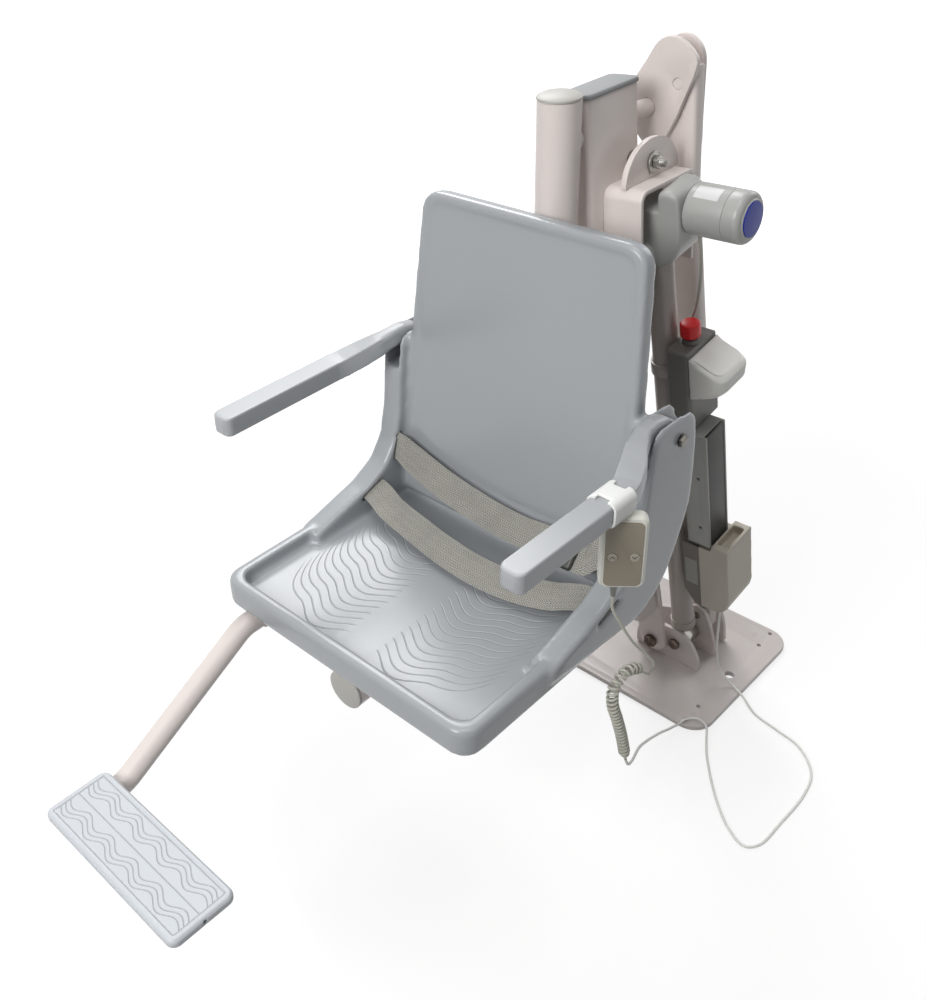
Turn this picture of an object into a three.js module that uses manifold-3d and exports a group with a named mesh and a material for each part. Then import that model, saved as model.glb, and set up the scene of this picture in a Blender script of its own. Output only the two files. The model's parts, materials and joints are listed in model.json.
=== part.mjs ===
// Pool lift: a moulded chair carried on an upright post by a swinging arm, a rear link and a motor-driven ram.
// Millimetres, Z up. The chair faces -Y, the lift swings it towards -X. Z = 0 is the deck.
import * as THREE from "three";
import { mergeVertices } from "three/addons/utils/BufferGeometryUtils.js";
import Module from "manifold-3d";

const wasm = await Module();
wasm.setup();

// shared clearances
const meet = 0.3;
const boreGap = 0.35;
// how far joined bodies sink into each other, and how far a cut runs past the wall it opens
const joinDepth = 2;
const through = 20;
const weldTol = 1e-4;
// lays a table of shares over a box of named sizes
const spread = (shares, u0, u1, w0, w1) => shares.map(([a, b]) => [u0 + a * (u1 - u0), w0 + b * (w1 - w0)]);

// surfaces: colour, roughness, metalness
const tone = {
  frame: [0xd6cecb, 0.42, 0.1], base: [0xc9c0be, 0.46, 0.1], shell: [0xb4babd, 0.34, 0], rest: [0xc6cbcf, 0.38, 0],
  cap: [0xc2bfb3, 0.5, 0], armCap: [0x8b8f92, 0.55, 0], steel: [0x8a7f7a, 0.4, 0.55], bolt: [0x5d4f45, 0.38, 0.9],
  zinc: [0xa9aaa8, 0.26, 1], motor: [0xa3a7a0, 0.38, 0.1], dark: [0x5a5a56, 0.5, 0], cream: [0xc9c8be, 0.42, 0],
  rail: [0x9c9c98, 0.4, 0.1], strip: [0x44443f, 0.45, 0], lower: [0x8a8276, 0.48, 0], red: [0xd0161b, 0.3, 0],
  hand: [0xdad9cb, 0.44, 0], clip: [0xd8dad3, 0.42, 0], belt: [0xa9a297, 0.86, 0], cord: [0xb9b8b0, 0.5, 0],
  coil: [0xa9a894, 0.5, 0], black: [0x2a2a2a, 0.42, 0],
};

// base plate and its ears
const plate = { x0: -252, x1: 248, y0: 132, y1: 462, t: 10, corner: 42, bevel: 1.5 };
const hole = { r: 9, small: 4, inset: 38, near: 14, far: 57 };
const armPin = { x: 70, z: 48, r: 8, head: 13, headH: 8, proud: 3.4 };
const ramPin = { x: 110, z: 51, r: 7, head: 11, headH: 7, proud: 4 };
const linkPin = { x: 118, z: 88, r: 7, head: 11, headH: 7, proud: 3 };
const ear = { nearY: 264, farY: 320, backY: 366, t: 8, lift: plate.t + meet, corner: 9, foreX: 42, aftX: 53, nearZ: 34, highZ: 24,
  backHalf: 40 };
const earNearShares = [[0, 0], [1, 0], [1, 0.191], [0.963, 0.414], [0.874, 0.693], [0.748, 0.944], [0.593, 1], [0.326, 0.972],
  [0.104, 0.805], [0, 0.47]];
const earFarShares = [[0, 0], [1, 0], [0.977, 0.292], [0.887, 0.646], [0.782, 0.921], [0.647, 1], [0.526, 0.882], [0.316, 0.685],
  [0.075, 0.548], [0, 0.331]];
const earBackShares = [[0, 0], [1, 0], [0.925, 0.449], [0.725, 0.882], [0.5, 1], [0.275, 0.882], [0.075, 0.449]];
const earNear = spread(earNearShares, armPin.x - ear.foreX, ramPin.x + ear.aftX, ear.lift, armPin.z + ear.nearZ);
const earFar = spread(earFarShares, armPin.x - ear.foreX, ramPin.x + ear.aftX, ear.lift, linkPin.z + ear.highZ);
const earBack = spread(earBackShares, linkPin.x - ear.backHalf, linkPin.x + ear.backHalf, ear.lift, linkPin.z + ear.highZ);

// the post of the carriage, and the pin through the head of the arm behind it
const post = { r: 30.15, top: 1126, low: 395, bend: 95, front: -462, pinDown: 63 };
const topPin = { x: 0, z: post.top - post.pinDown, r: 14 };
// how far pieces lie above or below the pin at the arm's head
const head = { armUp: 52, yokeDown: 75.4, ramDown: 163 };

// swinging arm: frame at its lower pin, leaning towards -X, slanting forward as it rises
const armSpan = Math.hypot(topPin.x - armPin.x, topPin.z - armPin.z);
const armLean = Math.atan2(armPin.x - topPin.x, topPin.z - armPin.z);
const armTube = { half: 24, low: 96, knee: 330, neck: 520, high: armSpan + head.armUp, lowFront: 176, lowBack: 231.5, kneeFront: 112,
  kneeBack: 190, neckFront: 52, neckBack: 172, front: 36, back: 156, r: 9 };
// height along the arm, front face and rear face of its tube, from the foot to the head
const armRings = [[armTube.low, armTube.lowFront, armTube.lowBack], [armTube.knee, armTube.kneeFront, armTube.kneeBack],
  [armTube.neck, armTube.neckFront, armTube.neckBack], [armTube.high, armTube.front, armTube.back]];
const capPiece = { t: 7, over: 2, r: 10 };
const armPlate = { t: 10, y0: 249, half: 27, foot: 27, top: 322, taper: 23, slantShare: 0.176 };
// yoke on the arm's +X side
const yoke = { w: 62, y0: 68, y1: 207, top: armSpan - head.yokeDown, bar: 7, legFront: 150, legBack: 140, r: 17 };
const lug = { t: 8, rise: 56, pinUp: 22, r: 66, slot: 7.5 };
const yokeBolt = { r: 6, nut: 10, nutT: 8, tip: 9 };
const dWasher = { r: 15, t: 4, flat: 11 };
const spacer = { r: 13 };

// rear link
const linkTop = { x: topPin.x + linkPin.x - armPin.x, z: topPin.z + linkPin.z - armPin.z };
const link = { half: 22, depth: 26, yTop: 235, yLow: 347, r: 7, end: 24, plain: 150 };

// carriage: end caps of the post, cross shaft, fins
const postCap = { r: 30.9, t: 3.2, dome: 4.4 };
const frontCap = { t: 4, r: 30.6, dome: 3 };
const finFront = { y: 210, t: 9, left: 30, right: 77, down: 55, up: 105 };
const finRear = { y: 250, t: 8, left: 28, right: 69, down: 67, up: 100 };
const finFrontShares = [[0, 0.2], [0, 0.525], [0.243, 0.775], [0.364, 0.925], [0.523, 1], [0.729, 0.981], [0.897, 0.9],
  [1, 0.8125], [0.972, 0.7125], [0.729, 0.269], [0.561, 0.0375], [0.28, 0]];
const finRearShares = [[0, 0.228], [0, 0.539], [0.309, 0.874], [0.474, 1], [0.701, 0.994], [0.866, 0.922], [0.938, 0.826],
  [0.969, 0.323], [1, 0.024], [0.701, 0], [0.33, 0.024]];
const finCorner = 11;
const finPin = { r: 8, head: 12, headH: 7.7, set: 1 };
const shaft = { over: 7, collarR: 17, collarGap: 0.6 };
const shaftEnd = finRear.y + finRear.t + shaft.over;

// ram (linear drive) frame: from its foot pin to its pivot in the yoke
const ramFoot = new THREE.Vector3(ramPin.x, 296, ramPin.z);
const ramHead = new THREE.Vector3(80, 140, topPin.z - head.ramDown);
const ramSpan = ramHead.distanceTo(ramFoot);
const ramAxis = new THREE.Vector3().subVectors(ramHead, ramFoot).normalize();
const ramSide = new THREE.Vector3(1, 0, 0).addScaledVector(ramAxis, -ramAxis.x).normalize();
const ramBack = new THREE.Vector3().crossVectors(ramAxis, ramSide);
const ramFrame = new THREE.Matrix4().makeBasis(ramSide, ramBack, ramAxis).setPosition(ramFoot);
const rod = { r: 10.5, low: 4, top: 190, eyeR: 19, eyeHalf: 19.5, room: 70 };
const gearFit = { down: 25.7, up: 98.3, motorUp: 58.3, gap: 0.4 };
const gearBox = { half: 33, bevel: 5, low: ramSpan - gearFit.down, high: ramSpan + gearFit.up, left: -33, right: 57, corner: 12 };
const ramTube = { r: 20.5, bore: 11.2, low: 50, high: gearBox.low - gearFit.gap, collarR: 22.5, collarLow: 36 };
// outline of the gear housing: across from the tube's centre, then up along the tube
const gearShares = [[0, 0], [0.589, 0], [0.856, 0.113], [0.978, 0.339], [1, 0.702], [1, 0.944], [0.9, 1], [0.633, 1],
  [0.622, 0.629], [0, 0.629]];
const motor = { up: ramSpan + gearFit.motorUp, back: 10, r: 37, from: gearBox.right + gearFit.gap, capFrom: 116, end: 144, round: 10, disc: 25,
  discT: 1.2, flangeR: 39.5, flangeT: 7, flangeStep: 2 };
const boss = { r: 13, front: 53, back: 57 };
// where the control set is held along the ram, as shares of its span
const held = { trayShare: 0.1737, railShare: 0.3543, boxLowShare: 0.631, clampShare: 0.741, boxHighShare: 0.807 };
const box = { x0: 21.4, x1: 62, half: 35, low: ramSpan * held.boxLowShare, high: ramSpan * held.boxHighShare, r: 7, bevel: 3 };
const cover = { x1: 120, down: 81, up: 7, r: 8 };
const coverShares = [[0, 0], [0.653, 0.135], [1, 0.216], [1, 0.676], [0.896, 0.73], [0, 1]];
const stop = { x: 46, collarR: 13, collarT: 9, r: 15.5, t: 23, travel: 4, stemR: 6, stemGap: 1 };
const stopShares = [[0, 0], [0.9, 0], [1, 0.174], [1, 0.696], [0.86, 0.913], [0.6, 1], [0, 1]];
const rail = { x0: 44, x1: 86, y0: -34, y1: 24, low: ramSpan * held.railShare, corner: 2, slotR: 3, slotX: 25, slotDown: 90, slotUp: 40, slotDepth: 8 };
const strip = { t: 5, y0: -29, y1: 19, sink: 1 };
const tray = { x0: 30, x1: 118, half: 35, low: ramSpan * held.trayShare, foot: 40, deckX: 86, step: 8, slope: 34, chin: 26, toe: 30, lip: 4, wall: 6,
  draft: 1, corner: 8, bevel: 4, pocketX: 12, pocketY: 12, pocketWall: 7, pocketDeep: 22, cordX: 88, cordY: -15 };
const deck = { over: 6, short: 2, side: 5, corner: 4 };
const contact = { w: 4, l: 16, t: 3, y: 19, inset: 3, shift: 5, root: 1 };
const stub = { r: 13, t: 16, x: 60, y: -14, lead: 2, rise: 3 };
const clampBand = { r: 24, h: 22, z: ramSpan * held.clampShare };

// chair
const pan = { half: 245, y0: -484, y1: -62, z0: 437, z1: 484, corner: 30, rim: 20, innerCorner: 22, floor: 462, bevel: 7 };
// how far pieces lie inside or outside the side of the pan
const side = { backLow: 19, backHigh: 53, wingIn: 35, wingOut: 5, slotIn: 33, slotOut: 6.5, pinIn: 1, restOut: 22, footIn: 50 };
const back = { half0: pan.half - side.backLow, half1: pan.half - side.backHigh, z0: 470, z1: 985, yF0: -118, yF1: -67, t: 27, r: 34, inset: 13, dish: 3,
  dishLow: 60, bevel: 5 };
const wing = { x0: pan.half - side.wingIn, x1: pan.half + side.wingOut, y0: -318, y1: 4, z0: 441, z1: 750, bevel: 4, corner: 7 };
const wingShares = [[0, 0.049], [0.581, 0], [0.674, 0.006], [0.786, 0.068], [0.857, 0.149], [0.913, 0.256], [0.963, 0.375],
  [0.997, 0.482], [1, 0.676], [0.988, 0.858], [0.969, 0.955], [0.919, 0.994], [0.702, 1], [0.658, 0.968], [0.637, 0.806],
  [0.618, 0.592], [0.575, 0.411], [0.5, 0.301], [0.366, 0.227], [0.174, 0.175], [0, 0.126]];
const armSlot = { x0: wing.x1 - side.slotIn, x1: wing.x1 - side.slotOut, y0: -125, y1: -14, z0: 690, ramp: 10, rise: 16, out: 28, upper: 46, high: 90,
  corner: 4 };
const restPin = { y: -42, z: 712, r: 6, head: 10, headH: 6, from: wing.x0 + side.pinIn };
const beltSlotHigh = { y: -126, z: 556, len: 50, w: 9, tilt: 0.3 };
const beltSlotLow = { y: -188, z: 500, len: 56, w: 9, tilt: 1.25 };
const rest = { r: 8, hinge: 17, side: 1, y0: -44, y1: -432, x: pan.half + side.restOut, inward: 37, z: 716, rise: 28, half: 18, tall: 30 };
// an armrest from its hinge to its tip: share of its run back to front, share of its shift inward, share of its rise over
// the straight part, and the shares of its full half width and height
const restShares = [[0, 1, -0.036, 0.667, 0.867], [0.026, 1, 0.5, 0.667, 1], [0.062, 1, 0.857, 0.667, 1], [0.113, 1, 1, 0.667, 1],
  [0.165, 0.973, 0.964, 0.667, 1], [0.232, 0.77, 0.714, 0.833, 1], [0.299, 0.405, 0.357, 0.972, 1], [0.371, 0.108, 0.071, 1, 1],
  [0.418, 0, 0, 1, 1], [0.66, 0, 0, 1, 1], [0.84, 0, 0, 1, 1], [0.948, 0, 0, 0.972, 0.967], [0.982, 0, 0, 0.806, 0.833],
  [1, 0, 0, 0.528, 0.6]];
const bracket = { w: 150, d: 46, t: 4, yFront: -380, yBack: -190, hang: 6, seat: 4, root: 1 };
const backTie = { half: 24, h: 46, z: 860, deep: 60, trim: 100 };

// footrest
const foot = { tubeR: 17, x: side.footIn - pan.half, yIn: -215, yBend: -492, bend: 60, shift: 17, yEnd: -822, clear: 16 };
const socket = { r: 20.5, len: 110, lip: 26 };
const footReach = { left: 3, right: 299 };
const footPlate = { x0: foot.x + footReach.left, x1: foot.x + footReach.right, y0: -862, y1: -760, z0: 317, z1: 333, r: 13, innerR: 9, bevel: 4, lip: 1.2,
  border: 8 };
const endHole = { r: 3.5, depth: 8 };

// belt: the ends pass through the wing slots
const strap = { w: 46, t: 1.9, ease: 0.95, inside: 6, outside: 1, near: 12, sagY: -36, sagZ: -14, clear: 4 };
const slotPull = (at) => at.w / 2 - strap.t / 2 - strap.ease;
const slotEnd = (x, at) => [x, at.y - slotPull(at) * Math.cos(at.tilt), at.z + slotPull(at) * Math.sin(at.tilt), 0,
  Math.sin(at.tilt), Math.cos(at.tilt)];
const strapIn = wing.x0 - strap.inside;
const strapOut = wing.x1 - strap.outside;
const buckle = { x: pan.half * 0.5306, y: -140, z: 524, l: 58, w: 50, t: 14, r: 6, bevel: 3, mouth: 9, clear: 5 };
const acrossShares = [0, 0.65, 0.76];
const mouthEnd = buckle.l / 2 - buckle.mouth + meet;
const buckleEnd = buckle.x + buckle.l / 2;
// each row: shares of the way in x, y and z from the strap's start to its end, then the direction across the strap
const laid = (shares, from, to) => shares.map(([a, b, c, ...across]) => [from.x + a * (to.x - from.x), from.y + b * (to.y - from.y),
  from.z + c * (to.z - from.z), ...across]);
const highShares = [[0.096, 0.357, 0.25, 0, 0.5, 0.86], [0.311, 0.857, 0.688, 0, 0.65, 0.76], [0.551, 1.071, 1, 0, 0.65, 0.76],
  [0.76, 1.071, 1.125, 0, 0.65, 0.76]];
const lowShares = [[0.108, 0.333, 0.429, 0.05, 0.93, 0.36], [0.255, 0.583, 0.786, 0.1, 0.9, 0.42], [0.426, 0.861, 1, 0.08, 0.86, 0.5],
  [0.598, 1, 1, 0.03, 0.84, 0.54], [0.745, 0.889, 0.857, 0, 0.84, 0.54], [0.892, 0.5, 0.5, -0.04, 0.9, 0.42]];
const shortShares = [[0.128, 0, 0, ...acrossShares], [0.359, 0, 0.031, ...acrossShares], [0.564, 0.214, 0.313, 0, 0.55, 0.83],
  [0.769, 0.714, 0.781, 0, 0.4, 0.91]];
const strapHigh = [slotEnd(-strapOut, beltSlotHigh), slotEnd(-strapIn, beltSlotHigh),
  ...laid(highShares, { x: -strapIn, y: beltSlotHigh.y, z: beltSlotHigh.z }, buckle),
  [buckle.x - buckle.l / 2 - strap.clear, buckle.y, buckle.z, ...acrossShares],
  [buckle.x - mouthEnd, buckle.y, buckle.z, ...acrossShares]];
const strapLow = [slotEnd(-strapOut, beltSlotLow), slotEnd(-strapIn, beltSlotLow), ...laid(lowShares,
  { x: -strapIn, y: beltSlotLow.y, z: beltSlotLow.z }, { x: strapIn, y: beltSlotLow.y + strap.sagY, z: beltSlotLow.z + strap.sagZ }),
slotEnd(strapIn, beltSlotLow), slotEnd(strapOut, beltSlotLow)];
const strapNear = strapIn - strap.inside;
const strapEnd = [[buckle.x + mouthEnd, buckle.y, buckle.z, ...acrossShares], ...laid(shortShares,
  { x: buckleEnd, y: buckle.y, z: buckle.z }, { x: strapNear, y: beltSlotHigh.y, z: beltSlotHigh.z }),
slotEnd(strapNear, beltSlotHigh), slotEnd(strapIn, beltSlotHigh), slotEnd(strapOut, beltSlotHigh)];

// handset
const handFit = { out: 11, padIn: 29, padOut: 3 };
const hand = { x: rest.x + handFit.out, y: -213, z: 641, w: 60, h: 114, t: 22, turn: 0.7, r: 12, bevel: 4, inset: 6, faceR: 8, faceT: 1.2,
  faceRoot: 1 };
const key = { r: 6.6, t: 4, x: 14, z: -4, travel: 1.5, pocket: 0.5, depth: 3.4 };
const clip = { y0: -252, y1: -206, wall: 4, drop: 42, padX0: rest.x - handFit.padIn, padX1: rest.x - handFit.padOut, padY0: -224, padY1: -207, root: 1,
  innerR: 7, gapHalf: 9 };
const relief = { r: 5.4, r1: 3.4, len: 20, x: -8 };
// handset cord: the wire is a plain tube, its middle wound into curls
const cord = { r: 2.1, sides: 5, coilR: 6.6, curls: 30, perCurl: 8, fade: 1.4, stiff: 20, smooth: 8, leadSteps: 10, tailSteps: 74 };
// centre line of the lead from the handset, of the curled stretch, and of the tail to the ram's lower box
const leadRoute = [[282, -211, 516], [292, -191, 474], [302, -168, 440], [307, -158, 420], [306, -166, 408]];
const coilRoute = [[304, -184, 424], [303, -199, 440], [301, -221, 447], [299, -242, 434], [299, -244, 406], [300, -231, 366],
  [300, -215, 318], [300, -200, 262]];
const tailRoute = [[300, -190, 240], [298, -176, 236], [294, -158, 238], [286, -136, 224], [272, -98, 192], [258, -52, 156],
  [244, 0, 116], [230, 50, 74], [219, 90, 42], [213, 118, 22], [212, 142, 14], [226, 158, 13.4], [246, 154, 13], [262, 130, 8],
  [279, 104, 3], [340, 31, 3], [387, -9, 3], [421, -22, 3], [437, -4, 3], [441, 56, 3], [441, 136, 3], [428, 186, 3], [385, 226, 3],
  [340, 236, 3], [290, 246, 3], [256, 262, 12], [232, 272, 14], [208, 268, 34], [198, 258, 90]];

// the part's own origin: the middle of the base plate's underside
const origin = new THREE.Vector3((plate.x0 + plate.x1) / 2, (plate.y0 + plate.y1) / 2, 0);
const group = new THREE.Group();
function add(name, geometry, [color, roughness, metalness]) {
  geometry.translate(-origin.x, -origin.y, -origin.z);
  geometry.computeVertexNormals();
  const mesh = new THREE.Mesh(geometry, new THREE.MeshStandardMaterial({ color, roughness, metalness }));
  mesh.name = name;
  group.add(mesh);
  return mesh;
}
function bare(geometry) {
  const g = geometry.clone();
  g.deleteAttribute("normal");
  g.deleteAttribute("uv");
  return mergeVertices(g, weldTol);
}
function outward(geometry) {
  const p = geometry.attributes.position;
  const ix = geometry.index;
  const a = new THREE.Vector3();
  const b = new THREE.Vector3();
  const c = new THREE.Vector3();
  let volume = 0;
  for (let i = 0; i < ix.count; i += 3) {
    a.fromBufferAttribute(p, ix.getX(i));
    b.fromBufferAttribute(p, ix.getX(i + 1));
    c.fromBufferAttribute(p, ix.getX(i + 2));
    volume += a.dot(b.cross(c));
  }
  if (volume < 0) {
    for (let i = 0; i < ix.count; i += 3) {
      const t = ix.getX(i + 1);
      ix.setX(i + 1, ix.getX(i + 2));
      ix.setX(i + 2, t);
    }
  }
  return geometry;
}
function solid(geometry) {
  const g = outward(bare(geometry));
  return new wasm.Manifold(new wasm.Mesh({
    numProp: 3,
    vertProperties: new Float32Array(g.attributes.position.array),
    triVerts: new Uint32Array(g.index.array),
  }));
}
function mesh(manifold) {
  const m = manifold.getMesh();
  const g = new THREE.BufferGeometry();
  g.setAttribute("position", new THREE.BufferAttribute(new Float32Array(m.vertProperties), 3));
  g.setIndex(new THREE.BufferAttribute(new Uint32Array(m.triVerts), 1));
  return g;
}
function joined(...parts) {
  return mesh(parts.map(solid).reduce((a, b) => a.add(b)));
}
function cut(body, ...tools) {
  return mesh(tools.map(solid).reduce((a, b) => a.subtract(b), solid(body)));
}
const axes = {
  z: new THREE.Matrix4(),
  y: new THREE.Matrix4().makeBasis(new THREE.Vector3(1, 0, 0), new THREE.Vector3(0, 0, 1), new THREE.Vector3(0, -1, 0)),
  x: new THREE.Matrix4().makeBasis(new THREE.Vector3(0, 1, 0), new THREE.Vector3(0, 0, 1), new THREE.Vector3(1, 0, 0)),
};
function slab(shape, axis, from, to, bevel = 0, steps = 5, bevelSteps = 1) {
  const depth = to - from;
  const g = new THREE.ExtrudeGeometry(shape, {
    depth: depth - 2 * bevel, steps: 1, curveSegments: steps,
    bevelEnabled: bevel > 0, bevelSize: bevel, bevelThickness: bevel, bevelOffset: -bevel, bevelSegments: bevelSteps,
  });
  g.translate(0, 0, bevel);
  g.applyMatrix4(axes[axis]);
  if (axis === "y") g.translate(0, to, 0);
  if (axis === "x") g.translate(from, 0, 0);
  if (axis === "z") g.translate(0, 0, from);
  return bare(g);
}
function rect(u0, u1, v0, v1, r) {
  const s = new THREE.Shape();
  s.moveTo(u0 + r, v0);
  s.lineTo(u1 - r, v0);
  s.absarc(u1 - r, v0 + r, r, -Math.PI / 2, 0);
  s.lineTo(u1, v1 - r);
  s.absarc(u1 - r, v1 - r, r, 0, Math.PI / 2);
  s.lineTo(u0 + r, v1);
  s.absarc(u0 + r, v1 - r, r, Math.PI / 2, Math.PI);
  s.lineTo(u0, v0 + r);
  s.absarc(u0 + r, v0 + r, r, Math.PI, 1.5 * Math.PI);
  return s;
}
function outline(points, r) {
  const s = new THREE.Shape();
  const n = points.length;
  for (let i = 0; i < n; i += 1) {
    const p = new THREE.Vector2(...points[i]);
    const a = new THREE.Vector2(...points[(i + n - 1) % n]).sub(p);
    const b = new THREE.Vector2(...points[(i + 1) % n]).sub(p);
    const cutA = Math.min(r, a.length() * 0.45);
    const cutB = Math.min(r, b.length() * 0.45);
    const from = p.clone().addScaledVector(a.normalize(), cutA);
    const to = p.clone().addScaledVector(b.normalize(), cutB);
    if (i === 0) s.moveTo(from.x, from.y);
    else s.lineTo(from.x, from.y);
    s.quadraticCurveTo(p.x, p.y, to.x, to.y);
  }
  s.closePath();
  return s;
}
function rodBetween(a, b, r, sides = 20, rEnd = r) {
  const d = new THREE.Vector3().subVectors(b, a);
  const g = new THREE.CylinderGeometry(rEnd, r, d.length(), sides, 1);
  g.applyQuaternion(new THREE.Quaternion().setFromUnitVectors(new THREE.Vector3(0, 1, 0), d.clone().normalize()));
  const m = new THREE.Vector3().addVectors(a, b).multiplyScalar(0.5);
  g.translate(m.x, m.y, m.z);
  return bare(g);
}
const v = (x, y, z) => new THREE.Vector3(x, y, z);
const barY = (x, z, r, y0, y1, sides = 20) => rodBetween(v(x, y0, z), v(x, y1, z), r, sides);
const barX = (y, z, r, x0, x1, sides = 20) => rodBetween(v(x0, y, z), v(x1, y, z), r, sides);
const barZ = (x, y, r, z0, z1, sides = 20) => rodBetween(v(x, y, z0), v(x, y, z1), r, sides);
function block(x0, x1, y0, y1, z0, z1) {
  const g = new THREE.BoxGeometry(x1 - x0, y1 - y0, z1 - z0);
  g.translate((x0 + x1) / 2, (y0 + y1) / 2, (z0 + z1) / 2);
  return bare(g);
}
function turned(profile, sides, from, dir) {
  const g = new THREE.LatheGeometry(profile.map(([r, h]) => new THREE.Vector2(r, h)), sides);
  g.applyQuaternion(new THREE.Quaternion().setFromUnitVectors(new THREE.Vector3(0, 1, 0), dir.clone().normalize()));
  g.translate(from.x, from.y, from.z);
  return bare(g);
}
function loft(rings) {
  const n = rings[0].length;
  const pos = [];
  const idx = [];
  rings.forEach((ring) => ring.forEach((p) => pos.push(p.x, p.y, p.z)));
  for (let k = 0; k < rings.length - 1; k += 1) {
    for (let i = 0; i < n; i += 1) {
      const j = (i + 1) % n;
      const a = k * n + i;
      const b = k * n + j;
      idx.push(a, b, b + n, a, b + n, a + n);
    }
  }
  for (let i = 1; i < n - 1; i += 1) {
    idx.push(0, i + 1, i);
    const e = (rings.length - 1) * n;
    idx.push(e, e + i, e + i + 1);
  }
  const g = new THREE.BufferGeometry();
  g.setAttribute("position", new THREE.Float32BufferAttribute(pos, 3));
  g.setIndex(new THREE.BufferAttribute(new Uint32Array(idx), 1));
  return outward(g);
}
// the corner points of a rounded rectangle, always the same number of them
function cornerPoints(x0, x1, y0, y1, r, steps) {
  const out = [];
  [[x1 - r, y0 + r, -0.5], [x1 - r, y1 - r, 0], [x0 + r, y1 - r, 0.5], [x0 + r, y0 + r, 1]].forEach(([cx, cy, turn]) => {
    for (let k = 0; k <= steps; k += 1) {
      const a = Math.PI * (turn + (0.5 * k) / steps);
      out.push([cx + r * Math.cos(a), cy + r * Math.sin(a)]);
    }
  });
  return out;
}
function ringXY(x0, x1, y0, y1, z, r, steps = 4) {
  return cornerPoints(x0, x1, y0, y1, r, steps).map(([x, y]) => v(x, y, z));
}
function place(geometry, matrix) {
  const g = geometry.clone();
  g.applyMatrix4(matrix);
  return g;
}
function bentPath(corners, radius, arcSteps = 7) {
  const pts = [corners[0].clone()];
  for (let i = 1; i < corners.length - 1; i += 1) {
    const p = corners[i];
    const a = new THREE.Vector3().subVectors(corners[i - 1], p).normalize();
    const b = new THREE.Vector3().subVectors(corners[i + 1], p).normalize();
    const half = Math.acos(a.dot(b)) / 2;
    const reach = radius / Math.tan(half);
    const start = p.clone().addScaledVector(a, reach);
    const end = p.clone().addScaledVector(b, reach);
    const mid = a.clone().add(b).normalize();
    const centre = p.clone().addScaledVector(mid, radius / Math.sin(half));
    for (let k = 0; k <= arcSteps; k += 1) {
      const q = start.clone().lerp(end, k / arcSteps).sub(centre).normalize().multiplyScalar(radius).add(centre);
      pts.push(q);
    }
  }
  pts.push(corners[corners.length - 1].clone());
  return pts;
}
// a round tube through a list of points, each ring square to the run there
function ringTube(points, r, sides, radii = null) {
  const up0 = v(1, 0, 0);
  const rings = [];
  let side = null;
  for (let i = 0; i < points.length; i += 1) {
    const before = points[Math.max(0, i - 1)];
    const after = points[Math.min(points.length - 1, i + 1)];
    const t = new THREE.Vector3().subVectors(after, before).normalize();
    if (!side) {
      side = Math.abs(t.dot(up0)) > 0.9 ? v(0, 1, 0) : up0.clone();
    }
    side = side.clone().addScaledVector(t, -side.dot(t)).normalize();
    const other = new THREE.Vector3().crossVectors(t, side);
    const rr = radii ? radii[i] : r;
    rings.push(Array.from({ length: sides }, (_, k) => {
      const a = (2 * Math.PI * k) / sides;
      return points[i].clone().addScaledVector(side, rr * Math.cos(a)).addScaledVector(other, rr * Math.sin(a));
    }));
  }
  return loft(rings);
}
function hexBolt(at, dir, r, length, headR, headH) {
  const a = at.clone();
  const b = at.clone().addScaledVector(dir, length);
  const h = at.clone().addScaledVector(dir, -headH);
  return joined(rodBetween(a.clone().addScaledVector(dir, -joinDepth), b, r, 16), rodBetween(h, a, headR, 6));
}
const armFrame = new THREE.Matrix4().makeRotationY(-armLean).setPosition(armPin.x, 0, armPin.z);

// base: a large hole at the middle of each end and small ones towards the corners
const holeRows = [[(plate.y0 + plate.y1) / 2, hole.r, 12], [plate.y0 + hole.near, hole.small, 10], [plate.y0 + hole.far, hole.small, 10],
  [plate.y1 - hole.near, hole.small, 10], [plate.y1 - hole.far, hole.small, 10]];
const footHoles = [plate.x0 + hole.inset, plate.x1 - hole.inset].flatMap((x) => holeRows.map(([y, r, sides]) => barZ(x, y, r,
  -joinDepth, plate.t + joinDepth, sides)));
const basePlate = slab(rect(plate.x0, plate.x1, plate.y0, plate.y1, plate.corner), "z", 0, plate.t, plate.bevel, 4);
add("base_plate", cut(basePlate, ...footHoles), tone.base);
function earPlate(points, y, pins) {
  return cut(slab(outline(points, ear.corner), "y", y, y + ear.t, 0, 3),
    ...pins.map((p) => barY(p.x, p.z, p.r + boreGap, y - joinDepth, y + ear.t + joinDepth, 16)));
}
add("base_ear_near", earPlate(earNear, ear.nearY, [armPin, ramPin]), tone.base);
add("base_ear_far", earPlate(earFar, ear.farY, [ramPin, linkPin]), tone.base);
add("base_ear_back", earPlate(earBack, ear.backY, [linkPin]), tone.base);
// the arm's pin ends just behind the near ear, so that the ram's rod passes over it when the arm is down
const armBoltStart = armPlate.y0 - armPlate.slantShare * armPin.head - meet;
add("arm_pivot_bolt", hexBolt(v(armPin.x, armBoltStart, armPin.z), v(0, 1, 0), armPin.r,
  ear.nearY + ear.t + armPin.proud - armBoltStart, armPin.head, armPin.headH), tone.bolt);
add("ram_pivot_bolt", hexBolt(v(ramPin.x, ear.nearY - meet, ramPin.z), v(0, 1, 0), ramPin.r,
  ear.farY + ear.t + ramPin.proud - ear.nearY, ramPin.head, ramPin.headH), tone.bolt);
add("link_pivot_bolt", hexBolt(v(linkPin.x, ear.backY + ear.t + meet, linkPin.z), v(0, -1, 0), linkPin.r,
  ear.backY + ear.t + linkPin.proud - ear.farY, linkPin.head, linkPin.headH), tone.bolt);

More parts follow.
